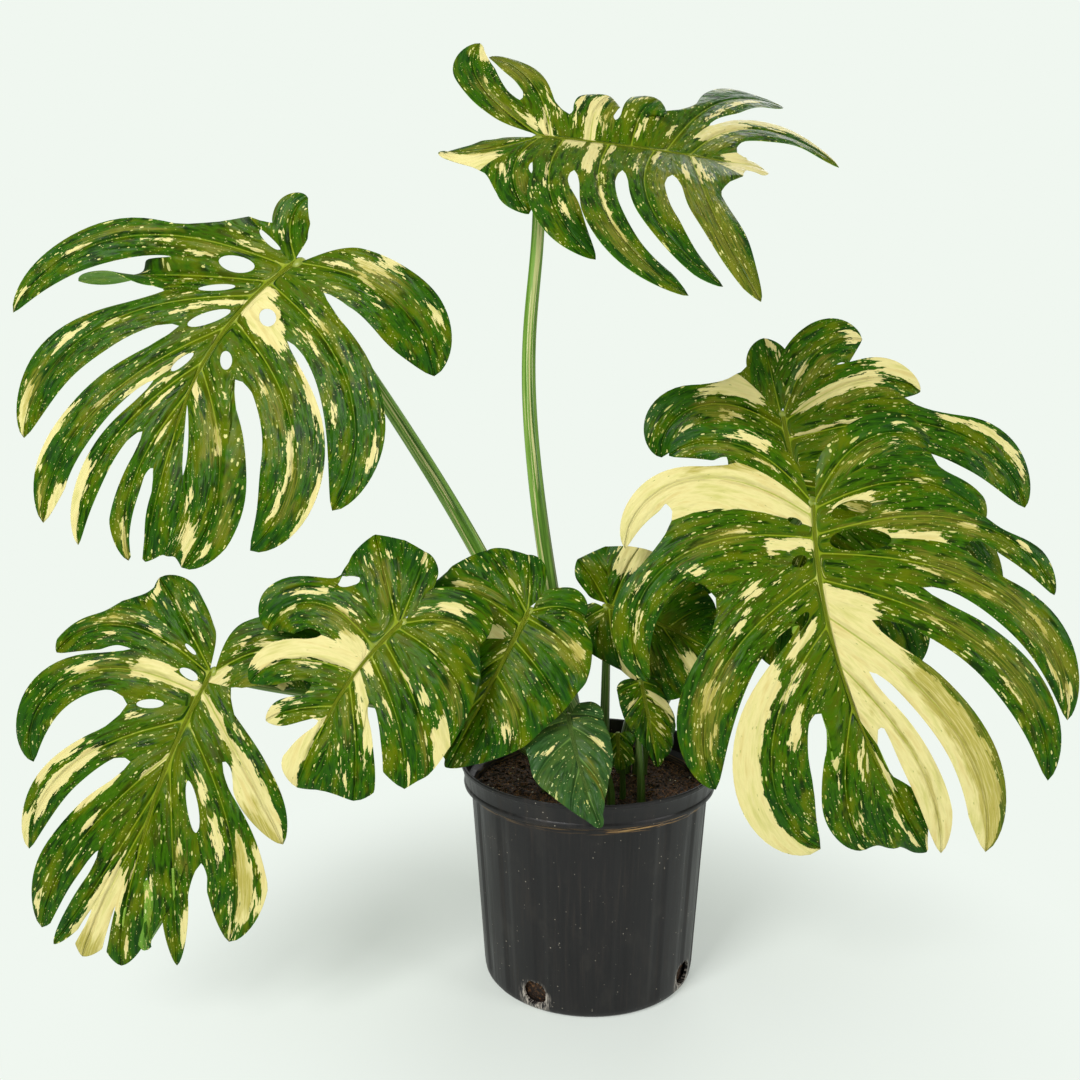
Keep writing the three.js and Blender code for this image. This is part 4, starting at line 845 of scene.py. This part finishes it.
RIB_STEPS, VEIN_STEPS, RIDGE_STEPS = 40, 60, 60
RIB_HALF_WIDTH, RIB_KEEL, RIB_RIDGE = 2.2, 2.6, 1.1
RIB_IN_FULL = 180  # the length from which a midrib shows in full; a shorter one is fainter
VEIN_GROOVE, VEIN_GROOVE_WIDTH, VEIN_KEEL_WIDTH = 0.9, 1.8, 1.6
PUFF, WAVE, WAVES = 0.055, 0.05, 2.3  # heights as shares of a lobe's half width, and waves along a lobe
LOBE_BROAD, LOBE_NECK = 0.65, 0.76
EDGE_SPREAD = 0.3  # the share of a lobe along which a leaf's first and last edge leave the midrib
ROWS_BEFORE_HOLE, ROWS_IN_HOLE, ROWS_TO_CUT, ROWS_IN_CUT = 3, 12, 5, 26
ROWS = ROWS_BEFORE_HOLE + ROWS_IN_HOLE + ROWS_TO_CUT + ROWS_IN_CUT
ACROSS = (0.03, 0.07, 0.13, 0.21, 0.31, 0.43, 0.56, 0.69, 0.81, 0.92, 1.0)
HALF_THICK, RIM_THICK = 0.42, 0.26
WELD_STEPS = 500  # to the millimetre; points on the same step are made one
PATCH_EDGE = 8  # how far inside its sides a patch counts as full
KNUCKLE_SIDES = 28
KNUCKLE_PROFILE = (  # distance along the joint and radius there, both in slim radii
    (0, 1.0), (0.1, 1.1), (0.5, 1.14), (1.2, 1.18), (2.0, 1.22), (2.6, 1.26), (3.0, 1.2), (3.3, 1.02),
    (3.5, 0.7), (3.58, 0.3),
)
KNUCKLE_TOP, KNUCKLE_MOTTLE = 3.6, 8.333
RAGGED_GRAIN, RAGGED_PUSH = 1.6129, (1.6, 0.9, 0.0)
BLADE_MARKS = (
    # dots, dashes and strokes: length and width of a mark's cell, least and greatest size as shares of the
    # cell, and the value from which a swarm thickens and its share of marked cells before and at its thickest
    ((3.2, 2.6), (0.08, 0.22), (0.3, 0.1, 0.4)),
    ((10.5, 3.4), (0.08, 0.24), (0.35, 0.12, 0.36)),
    ((30, 4.8), (0.06, 0.22), (0.4, 0.04, 0.2)),
)

Vein = namedtuple("Vein", "side lobe root line")


def between_points(points, u):
    """Points on a line of evenly spaced points at the shares u."""
    x = np.clip(np.asarray(u, float), 0, 1) * (len(points) - 1)
    i = np.minimum(x.astype(int), len(points) - 2)
    return points[i] + (points[i + 1] - points[i]) * (x - i)[..., None]


def line_of(start, step, length, steps):
    """Points of a line that sets out from start and follows the direction step(u)."""
    middles = (np.arange(steps) + 0.5) / steps
    return start + np.vstack([np.zeros(3), np.cumsum(step(middles) * length / steps, 0)])


def midrib(leaf):
    """The midrib as a function of the share u: point, heading T, right side S and outlook N."""
    N = outlook(leaf["face"])
    down = unit(np.array([0, 0, -1.0]) + N * N[2])
    heading = math.radians(leaf["heading"])
    T = down * math.cos(heading) + np.cross(N, down) * math.sin(heading)
    S = np.cross(T, N)

    def axes(u):
        u = np.asarray(u, float)[..., None]
        turn, bend = np.radians(leaf["swerve"]) * u, np.radians(leaf["bend"]) * u
        ahead, side = T * np.cos(turn) + S * np.sin(turn), S * np.cos(turn) - T * np.sin(turn)
        return ahead * np.cos(bend) - N * np.sin(bend), side, ahead * np.sin(bend) + N * np.cos(bend)

    points = line_of(np.array(leaf["joint"], float), lambda u: axes(u)[0], leaf["length"], RIB_STEPS)
    return lambda u: (between_points(points, u), *axes(u))


def root_on(rib, side, at):
    """The side of the midrib where lobes on `side` (-1 left, 0 tip, 1 right) take root."""
    point, _, S, _ = rib(at)
    return point + S * (side * RIB_HALF_WIDTH * (1 - 0.75 * np.asarray(at, float)))[..., None]


def side_vein(rib, lobe):
    """The middle vein of a lobe. Its line is a function of t: point, direction along, across and out."""
    side = int(np.sign(lobe["angle"]))
    hand = side or 1
    _, T, S, N = rib(lobe["at"])
    start = math.radians(abs(lobe["angle"]))
    sweep, rise, droop, twist = (math.radians(lobe[key]) for key in ("sweep", "rise", "droop", "twist"))

    def axes(t):
        t = np.asarray(t, float)[..., None]
        way, slope = start - sweep * t ** 1.8, rise - droop * t ** 1.3
        flat = T * np.cos(way) + S * hand * np.sin(way)
        tipward = T * np.sin(way) - S * hand * np.cos(way)
        out = N * np.cos(slope) - flat * np.sin(slope)
        return (flat * np.cos(slope) + N * np.sin(slope),
                tipward * np.cos(twist * t) + out * np.sin(twist * t),
                out * np.cos(twist * t) - tipward * np.sin(twist * t))

    root = root_on(rib, side, lobe["at"])
    points = line_of(root, lambda t: axes(t)[0], lobe["length"], VEIN_STEPS)
    return Vein(side, lobe, root, lambda t: (between_points(points, t), *axes(t)))


def seam(rib, a, b, t):
    """The line half way between two neighbouring side veins."""
    root = root_on(rib, a.side or b.side, (a.lobe["at"] + b.lobe["at"]) / 2)
    along_a, along_b = a.line(t)[0] - a.root, b.line(t)[0] - b.root
    reach = (np.linalg.norm(along_a, axis=-1) + np.linalg.norm(along_b, axis=-1)) / 2
    return root + unit(unit(along_a) + unit(along_b)) * reach[..., None]


def row_shares(slit, hole):
    """Shares along an edge, one per row, so that openings and cuts begin and end on a row."""
    if slit >= 1:
        return np.linspace(0, 1, ROWS + 1)
    from_hole, to_hole = hole[:2] if hole else (slit * 0.15, slit * 0.75)
    turn = np.linspace(0, np.pi, ROWS_IN_HOLE + 1)
    inside = from_hole + (to_hole - from_hole) * (1 - np.cos(turn)) / 2
    x = np.linspace(0, 1, ROWS_IN_CUT + 1)  # laid closer together at both ends of the cut
    cut = slit + (1 - slit) * (0.45 * x ** 1.7 + 0.55 * (1 - (1 - x) ** 1.9))
    return np.concatenate([
        np.linspace(0, from_hole, ROWS_BEFORE_HOLE + 1)[:-1], inside,
        np.linspace(to_hole, slit, ROWS_TO_CUT + 1)[1:-1], cut,
    ])


def half_width(lobe, t):
    """Half width of a lobe at t: widest at LOBE_BROAD, then rounded off to a small point."""
    body = LOBE_NECK + (1 - LOBE_NECK) * smooth(t / LOBE_BROAD)
    end = np.maximum(0, 1 - np.clip((t - LOBE_BROAD) / (1 - LOBE_BROAD), 0, 1) ** 2) ** 0.72
    return lobe["half"] * np.where(t < LOBE_BROAD, body, end)


def edge_way(vein, which, t):
    """Direction from a lobe's vein to its edge with the lobe before it (-1) or after it (1)."""
    return vein.line(t)[2] * (-which * (vein.side or 1))


def lobe_edges(rib, a, b):
    """Shares and points of the edge between lobes a and b, as a sees it and as b sees it."""
    if a is None or b is None:
        vein = a or b
        t = row_shares(EDGE_SPREAD, None)
        width = half_width(vein.lobe, t) * smooth(t / EDGE_SPREAD) ** 0.6
        points = vein.line(t)[0] + edge_way(vein, 1 if a else -1, t) * width[:, None]
        return t, points, points
    slit, slot, hole = (a.lobe[key] for key in ("slit", "slot", "hole"))
    t = row_shares(slit, hole)
    middle = seam(rib, a, b, t)
    sides = [middle.copy(), middle.copy()]
    for points, vein, which in zip(sides, (a, b), (1, -1)):
        own = vein.line(t)[0]
        if hole:
            ring = slice(ROWS_BEFORE_HOLE, ROWS_BEFORE_HOLE + ROWS_IN_HOLE + 1)
            turn = np.sin(np.linspace(0, np.pi, ROWS_IN_HOLE + 1))[:, None]
            points[ring] = middle[ring] + unit(own - middle)[ring] * turn * hole[2] / 2
        if slit < 1:
            cut = slice(ROWS - ROWS_IN_CUT + 1, None)
            opened = np.sqrt(np.clip((t - slit) / min(0.1, 1 - slit), 0, 1))[:, None]
            towards = middle - own
            distance = np.linalg.norm(towards, axis=-1)
            room = np.maximum(distance - slot / 2, distance * 0.35)
            free = smooth((t - slit) / (0.6 * (1 - slit)))[:, None]
            way = unit(unit(towards) * (1 - free) + edge_way(vein, which, t) * free)
            tip = own + way * np.minimum(half_width(vein.lobe, t), room)[:, None]
            points[cut] = (middle + (tip - middle) * opened)[cut]
    return t, *sides


def lobe_columns(vein, t_near, near, t_far, far):
    """Rows of points across a lobe from its near edge over its vein to its far edge, with t for each."""
    middle_t = (t_near + t_far) / 2
    middle = vein.line(middle_t)[0]
    columns, shares, across = [], [], []
    for sign, edge, other, t_edge in ((-1, near, far, t_near), (1, far, near, t_far)):
        straight = edge - middle
        leave = unit(edge - other) * np.linalg.norm(straight, axis=-1, keepdims=True)
        for c in ACROSS:
            columns.append(middle * (2 * c ** 3 - 3 * c ** 2 + 1) + leave * (c ** 3 - 2 * c ** 2 + c)
                           + edge * (3 * c ** 2 - 2 * c ** 3) + straight * (c ** 3 - c ** 2))
            shares.append(middle_t + (t_edge - middle_t) * c)
            across.append(sign * c)
        if sign < 0:
            columns = [*columns[::-1], middle]
            shares = [*shares[::-1], middle_t]
            across = [*across[::-1], 0.0]
    return np.stack(columns, 1), np.stack(shares, 1), np.array(across)


def zip_lines(left, right, faces):
    """Fills the strip between two lines of (share, point number) pairs with triangles."""
    i = j = 0
    while i < len(left) - 1 or j < len(right) - 1:
        if j >= len(right) - 1 or (i < len(left) - 1 and left[i + 1][0] <= right[j + 1][0]):
            faces.append((left[i][1], right[j][1], left[i + 1][1]))
            i += 1
        else:
            faces.append((left[i][1], right[j][1], right[j + 1][1]))
            j += 1


def patch_depth(lobe, patches, t, c):
    """How deep a place on a lobe lies in a patch, from 1 for PATCH_EDGE inside its sides to -1 for as far
    outside. Towards the ends of a patch the depth falls off three times as slowly, so that they fray out."""
    depth = np.full(t.shape, -float(PATCH_EDGE))
    for t_from, t_to, c_from, c_to in patches:
        ends = np.minimum(t - t_from, t_to - t) * (lobe["length"] / 3)
        sides = np.minimum(c - c_from, c_to - c) * lobe["half"]
        depth = np.maximum(depth, np.minimum(ends, sides) - 1.2 * np.exp(-np.abs(ends - sides) / 3))
    return np.clip(depth, -PATCH_EDGE, PATCH_EDGE) / PATCH_EDGE


def blade_sheet(leaf, random):
    """A blade's middle surface: its points, their lift off it, the keel below them, what they carry for the
    finishes, and its faces."""
    rib = midrib(leaf)
    veins = [side_vein(rib, lobe) for lobe in leaf["lobes"]]
    edges = [lobe_edges(rib, a, b) for a, b in zip([None, *veins], [*veins, None])]
    points, lift, keel, carried, faces = [], [], [], [], []
    root_lines = {-1: {}, 1: {}}
    rib_shows = min(1, leaf["length"] / RIB_IN_FULL)
    count = 0
    for k, vein in enumerate(veins):
        (t_near, _, near), (t_far, far, _) = edges[k:k + 2]
        grid, t, c = lobe_columns(vein, t_near, near, t_far, far)
        at, reach = vein.lobe["at"], vein.lobe["length"]
        before = (veins[k - 1].lobe["at"] + at) / 2 if k else at
        after = (veins[k + 1].lobe["at"] + at) / 2 if k < len(veins) - 1 else at
        root_at = np.where(c < 0, at - (before - at) * c, at + (after - at) * c)
        root_side = np.where(c < 0, vein.side or -1, np.where(c > 0, vein.side or 1, vein.side))
        for j in range(len(c)):
            grid[0, j] = root_on(rib, root_side[j], root_at[j])
            if root_side[j]:
                root_lines[root_side[j]][round(root_at[j], 6)] = count + j
            else:
                tip = count + j
        middle_t = t[:, len(ACROSS)]
        middle, along, across, _ = vein.line(middle_t)
        away = grid - middle[:, None]
        u = middle_t[:, None] * reach + (away * along[:, None]).sum(-1)
        v = (away * across[:, None]).sum(-1)
        u[0], v[0] = 0, 0
        room = np.linalg.norm(away, axis=-1)[:, [0, -1]].mean(1)[:, None]
        on_rib = np.zeros_like(t)
        on_rib[0] = 0.7 * rib_shows
        phase = random.uniform(0, 1)
        groove = -VEIN_GROOVE * np.exp(-(v / VEIN_GROOVE_WIDTH) ** 2) * (1 - 0.75 * t) * smooth(u / 10)
        puff = PUFF * room * np.sin(np.pi * np.abs(c)) * smooth(u / 25)
        wave = WAVE * room * c ** 2 * np.sin(2 * np.pi * (t * WAVES + phase)) * smooth((t - 0.3) / 0.3)
        vein_keel = np.exp(-(v / VEIN_KEEL_WIDTH) ** 2) * (1 - t)
        vein_keel[0] = RIB_KEEL * (1 - 0.8 * root_at)
        points.append(grid.reshape(-1, 3))
        lift.append((groove + puff + wave).ravel())
        keel.append(vein_keel.ravel())
        shift = random.uniform(0, 50)
        patches = [patch_depth(vein.lobe, vein.lobe[key], t, c) for key in ("cream", "tan")]
        layers = (u * MM + shift, v * MM, t, np.broadcast_to(c, t.shape), *patches, on_rib)
        carried.append(np.stack([layer.ravel() for layer in layers], -1))
        faces += [[p + count for p in face] for face in grid_faces(ROWS + 1, len(c), False)]
        count += t.size
    tip_at = next(vein.lobe["at"] for vein in veins if vein.side == 0)
    ridge_at = np.linspace(0, tip_at, RIDGE_STEPS)[:-1]
    ridge, _, _, N = rib(ridge_at)
    nothing = np.zeros(len(ridge_at))
    points.append(ridge + N * (RIB_RIDGE * (1 - 0.7 * ridge_at))[:, None])
    lift.append(nothing)
    keel.append((RIB_KEEL + RIB_RIDGE) * (1 - 0.8 * ridge_at))
    layers = (ridge_at * leaf["length"] * MM, *[nothing] * 3, nothing - 1, nothing - 1, nothing + rib_shows)
    carried.append(np.stack(layers, -1))
    left, right = ([*sorted(root_lines[side].items()), (tip_at, tip)] for side in (-1, 1))
    crest = [*((share, count + i) for i, share in enumerate(ridge_at)), (tip_at, tip)]
    zip_lines(left, crest, faces)
    zip_lines(crest, right, faces)
    return np.vstack(points), np.concatenate(lift), np.concatenate(keel), np.vstack(carried), faces


def blade_solid(leaf, random):
    """A closed blade: points, faces with what their corners carry, and how many faces look upwards."""
    points, lift, keel, carried, corners = blade_sheet(leaf, random)
    steps = np.round(points * WELD_STEPS).astype(int)
    _, first, merged = np.unique(steps, axis=0, return_index=True, return_inverse=True)
    merged = merged.ravel()
    uses = np.bincount(merged)
    lift, keel = np.bincount(merged, lift) / uses, np.bincount(merged, keel) / uses
    points = points[first]
    faces, sources = [], []
    for corner in corners:
        kept = [p for q, p in enumerate(corner) if merged[p] != merged[corner[q - 1]]]
        if len({merged[p] for p in kept}) >= 3:
            faces.append([merged[p] for p in kept])
            sources.append(kept)
    normals = np.zeros_like(points)
    for face in faces:
        a, b, c, d = (points[face[q]] for q in (0, 1, 2, -1))
        normals[face] += np.cross(c - a, d - b) if len(face) == 4 else np.cross(b - a, c - a)
    normals = unit(normals)
    sides = {}
    for face, source in zip(faces, sources):
        for q in range(len(face)):
            key = frozenset((face[q - 1], face[q]))
            sides[key] = None if key in sides else (face[q - 1], face[q], source[q - 1], source[q])
    rims = [side for side in sides.values() if side]
    thick = np.full(len(points), HALF_THICK)
    thick[[p for rim in rims for p in rim[:2]]] = RIM_THICK
    sheet = points + normals * lift[:, None]
    upper, lower = sheet + normals * thick[:, None], sheet - normals * (thick + keel)[:, None]
    n = len(points)
    solid = faces + [[p + n for p in face[::-1]] for face in faces]
    solid += [[p, p + n, q + n, q] for p, q, _, _ in rims]
    source = sources + [s[::-1] for s in sources] + [[a, a, b, b] for _, _, a, b in rims]
    return np.vstack([upper, lower]), solid, carried[[i for s in source for i in s]], len(faces)


def knuckle_tube(stalk):
    """The swollen joint between stalk and blade, closed at both ends, as points and faces."""
    end, direction = arrival(stalk)
    side = unit(np.cross(direction, (0.3, 1.0, 0.2)))
    other = np.cross(direction, side)
    slim = stalk["radii"][1]
    turn = (2 * np.pi * np.arange(KNUCKLE_SIDES) / KNUCKLE_SIDES)[:, None]
    rings = np.array([
        end + direction * slim * along + slim * size * (side * np.cos(turn) + other * np.sin(turn))
        for along, size in KNUCKLE_PROFILE
    ])
    return capped(rings, end, end + direction * slim * KNUCKLE_TOP)


def dashes(tree, place, along, across, least, most, share):
    """Marks drawn out along a vein: one to a cell of along by across mm, in a share of the cells, with ragged
    edges."""
    ragged = node(tree, "TexNoise", {"Vector": place, "Scale": 1 / (RAGGED_GRAIN * MM), "Detail": 2.0})
    push = [c * MM for c in RAGGED_PUSH]
    pushed = node(tree, "VectorMath", ragged.outputs["Color"], push, place, operation="MULTIPLY_ADD")
    cells = node(tree, "Mapping", {"Vector": pushed, "Scale": (1 / (along * MM), 1 / (across * MM), 1)})
    spots = node(tree, "TexVoronoi", {"Vector": cells, "Scale": 1.0}, voronoi_dimensions="2D").outputs
    dice = node(tree, "SeparateColor", spots["Color"]).outputs
    size = node(tree, "MapRange", dice[0], 0.0, 1.0, least, most, **EASED)
    inside = node(tree, "Math", size, spots["Distance"], operation="SUBTRACT")
    chosen = node(tree, "Math", dice[1], share, operation="LESS_THAN")
    return product(tree, node(tree, "MapRange", inside, 0.0, 0.05, **EASED), chosen)


def blade_material(name, dark, green, warm, sheen_green, rib, speck, shine, fine_relief):
    """One face of a variegated blade, patterned along its own veins."""
    new, tree = material(name)
    grain = node(tree, "UVMap", uv_map="grain")
    outward = node(tree, "SeparateXYZ", node(tree, "UVMap", uv_map="share")).outputs["X"]
    along, aside = node(tree, "SeparateXYZ", grain).outputs[:2]
    fibre = node(tree, "CombineXYZ", aside, along)
    cream_in, tan_in, on_rib = (
        node(tree, "Attribute", attribute_name=layer).outputs["Fac"] for layer in ("cream", "tan", "midrib")
    )

    # Green tissue: deep green with lighter strips between the fine veins and warm olive clouds, warmer by the
    # midrib, and a painted bluish sheen that makes it cooler and darker out at the ends of the lobes.
    clouds, shade = streaks(tree, fibre, 16, 50), streaks(tree, fibre, 6, 34)
    fine = streaks(tree, fibre, 1.1, 14, 4.0)
    clouded = node(tree, "MapRange", clouds, 0.48, 0.66, 0.0, 0.85, **EASED)
    finely = node(tree, "MapRange", fine, 0.5, 0.72, 0.0, 0.5, **EASED)
    inner = product(
        tree, node(tree, "MapRange", outward, 0.5, 0.0, 0.0, 0.6, **EASED),
        node(tree, "MapRange", shade, 0.35, 0.6, **EASED),
    )
    # Painted sheen: a bluish green laid over the ends of the lobes, which also darkens them.
    end_sheen = product(
        tree, node(tree, "MapRange", outward, 0.35, 0.9, **EASED),
        node(tree, "MapRange", clouds, 0.55, 0.4, 0.0, 0.6, **EASED),
    )

    # Olive patches: the same tissue half bleached, in fine strips along the veins.
    wandering = node(tree, "Math", shade, 0.5, operation="SUBTRACT")
    tan_edge = node(tree, "Math", tan_in, product(tree, wandering, 3.0), operation="ADD")
    in_tan = node(tree, "MapRange", tan_edge, -0.3, 0.6, **EASED)
    strips = streaks(tree, fibre, 1.3, 30, 4.0)
    bleached = product(tree, in_tan, node(tree, "MapRange", strips, 0.36, 0.6, 0.15, 0.8, **EASED))

    # Cream marks: dots, dashes and strokes in swarms, and here and there a ragged splash.
    swarm = streaks(tree, fibre, 20, 50)
    dots, short, long = (
        dashes(tree, grain, *cell, *size, node(tree, "MapRange", swarm, low, 0.65, few, many, **EASED))
        for cell, size, (low, few, many) in BLADE_MARKS
    )
    strokes = node(tree, "Math", short, long, operation="MAXIMUM")
    marks = node(tree, "Math", product(tree, dots, 0.6), strokes, operation="MAXIMUM")
    splash = node(tree, "MapRange", streaks(tree, fibre, 4.2, 24, 5.0), 0.695, 0.715, **EASED)
    mark_tone = node(tree, "ValToRGB", streaks(tree, fibre, 11, 30), stops=(
        (0.4, speck), (0.56, "#bcbb6a"), (0.68, "#8f9034"),
    ))
    leaf_colour = layered(
        tree, node(tree, "ValToRGB", shade, stops=((0.36, dark), (0.5, green), (0.62, dark))),
        (clouded, linear(warm)), (finely, linear(green)), (inner, linear(warm)), (end_sheen, linear(sheen_green)),
        (bleached, linear("#7c7c26")), (node(tree, "Math", marks, splash, operation="MAXIMUM"), mark_tone),
    )

    # Cream patches: no green left in them but a few flecks, their edges ragged along the veins.
    straying = node(tree, "Math", streaks(tree, fibre, 3.6, 20, 5.0), 0.5, operation="SUBTRACT")
    cream_edge = node(tree, "Math", cream_in, product(tree, straying, 2.4), operation="ADD")
    half_bleached = product(tree, in_tan, node(tree, "MapRange", strips, 0.36, 0.56, 0.45, 0.95, **EASED))
    flecks = dashes(tree, grain, 12, 3, 0.05, 0.14, 0.14)
    cream = layered(
        tree, node(tree, "ValToRGB", streaks(tree, fibre, 7, 50), stops=(
            (0.3, "#d3c27c"), (0.5, "#e0d592"), (0.7, "#c8c274"),
        )),
        (half_bleached, linear("#aaa048")), (product(tree, flecks, 0.7), linear("#7f8c3a")),
    )

    # Veins: paler lines that narrow outwards along each lobe, and the midrib.
    narrowing = node(tree, "Math", 1.0, product(tree, outward, 0.8), operation="SUBTRACT")
    distance = node(tree, "Math", aside, operation="ABSOLUTE")
    from_vein = node(tree, "Math", distance, narrowing, operation="DIVIDE")
    on_vein = product(
        tree, node(tree, "MapRange", from_vein, 0.0012, 0.0004, **EASED),
        node(tree, "MapRange", outward, 0.8, 0.1, 0.1, 0.7, **EASED),
    )
    veined = node(
        tree, "Math", on_vein, node(tree, "MapRange", on_rib, 0.76, 0.92, **EASED), operation="MAXIMUM",
    )

    # Relief: a groove over each vein, the tissue quilted between the side veins, and a fine grain.
    groove = product(tree, node(tree, "MapRange", from_vein, 0.0, 0.006, **EASED), 0.3)
    quilted = node(tree, "Math", groove, streaks(tree, fibre, 12, 45, 2.0), operation="ADD")
    height = node(tree, "Math", product(tree, fine, 0.12 * fine_relief), quilted, operation="ADD")
    node(tree, "OutputMaterial", node(tree, "BsdfPrincipled", {
        "Base Color": layered(
            tree, leaf_colour, (node(tree, "MapRange", cream_edge, -0.04, 0.06, **EASED), cream),
            (veined, linear(rib)),
        ),
        "Roughness": node(tree, "MapRange", shade, 0.3, 0.7, shine, shine + 0.12, **EASED),
        "Specular IOR Level": 0.12, "IOR": 1.4,
        "Normal": node(tree, "Bump", {"Height": height, "Strength": 0.8, "Distance": 0.006}),
    }))
    return new


# Living leaf, waxy above: deep green dotted, dashed and splashed with cream along the veins, and semi-glossy.
waxy_blade = blade_material(
    "waxy_variegated_blade", "#162c00", "#366301", "#5f6c03", "#164412", "#8f9e22", "#d6d288", 0.28, 0.6,
)
# The smallest leaf in front is young: the same wax over smoother, cooler and more even green.
young_blade = blade_material(
    "young_waxy_blade", "#253f1a", "#375a26", "#4a6226", "#2c4f28", "#66853c", "#bcc88c", 0.28, 0.3,
)
# The underside: the same tissue without the wax, so paler and duller, and with a stronger grain.
matt_blade = blade_material(
    "matt_blade_underside", "#5b8422", "#78a034", "#8a9c38", "#5f8f3c", "#aabb62", "#d3daa0", 0.5, 1.0,
)

# Swollen joint: firm satin green tissue, mottled and lightly dented every 8 mm.
knuckle_skin, tree = material("ringed_green_knuckle")
spot = node(tree, "TexCoord").outputs["Object"]
mottle = node(tree, "TexNoise", {"Vector": spot, "Scale": 1 / (KNUCKLE_MOTTLE * MM), "Detail": 3.0})
node(tree, "OutputMaterial", node(tree, "BsdfPrincipled", {
    "Base Color": node(tree, "ValToRGB", mottle, stops=((0.35, "#6f8022"), (0.6, "#8f9c34"))),
    "Roughness": 0.42,
    "Normal": node(tree, "Bump", {"Height": mottle, "Strength": 0.3, "Distance": 0.001}),
}))

random = np.random.default_rng(23)
for name, blade in BLADES.items():
    stalk = STALKS[name]
    leaf = {**blade, "joint": stalk["joint"], "face": stalk["face"]}
    points, faces, carried, upward = blade_solid(leaf, random)
    tube_points, tube_faces = knuckle_tube(stalk)
    sheet_faces = len(faces)
    faces += [[p + len(points) for p in face] for face in tube_faces]
    mesh = mesh_from(f"leaf_{name}", np.vstack([points, tube_points]), faces)
    corners = np.zeros((len(mesh.loops), carried.shape[1]))
    corners[:len(carried)] = carried
    for layer, columns in (("grain", (0, 1)), ("share", (2, 3))):
        mesh.uv_layers.new(name=layer).data.foreach_set("uv", corners[:, columns].ravel())
    for layer, column in (("cream", 4), ("tan", 5), ("midrib", 6)):
        mesh.attributes.new(layer, "FLOAT", "CORNER").data.foreach_set("value", corners[:, column])
    mesh.polygons.foreach_set("material_index", [
        0 if i < upward else (1 if i < sheet_faces else 2) for i in range(len(faces))
    ])
    mesh.set_sharp_from_angle(angle=math.radians(60))
    upper_side = young_blade if name == "small_front" else waxy_blade
    piece = add_object(f"blade_{name}", mesh, upper_side, matt_blade, knuckle_skin)
    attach(piece, "root")
    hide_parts(f"leaf_{name}")
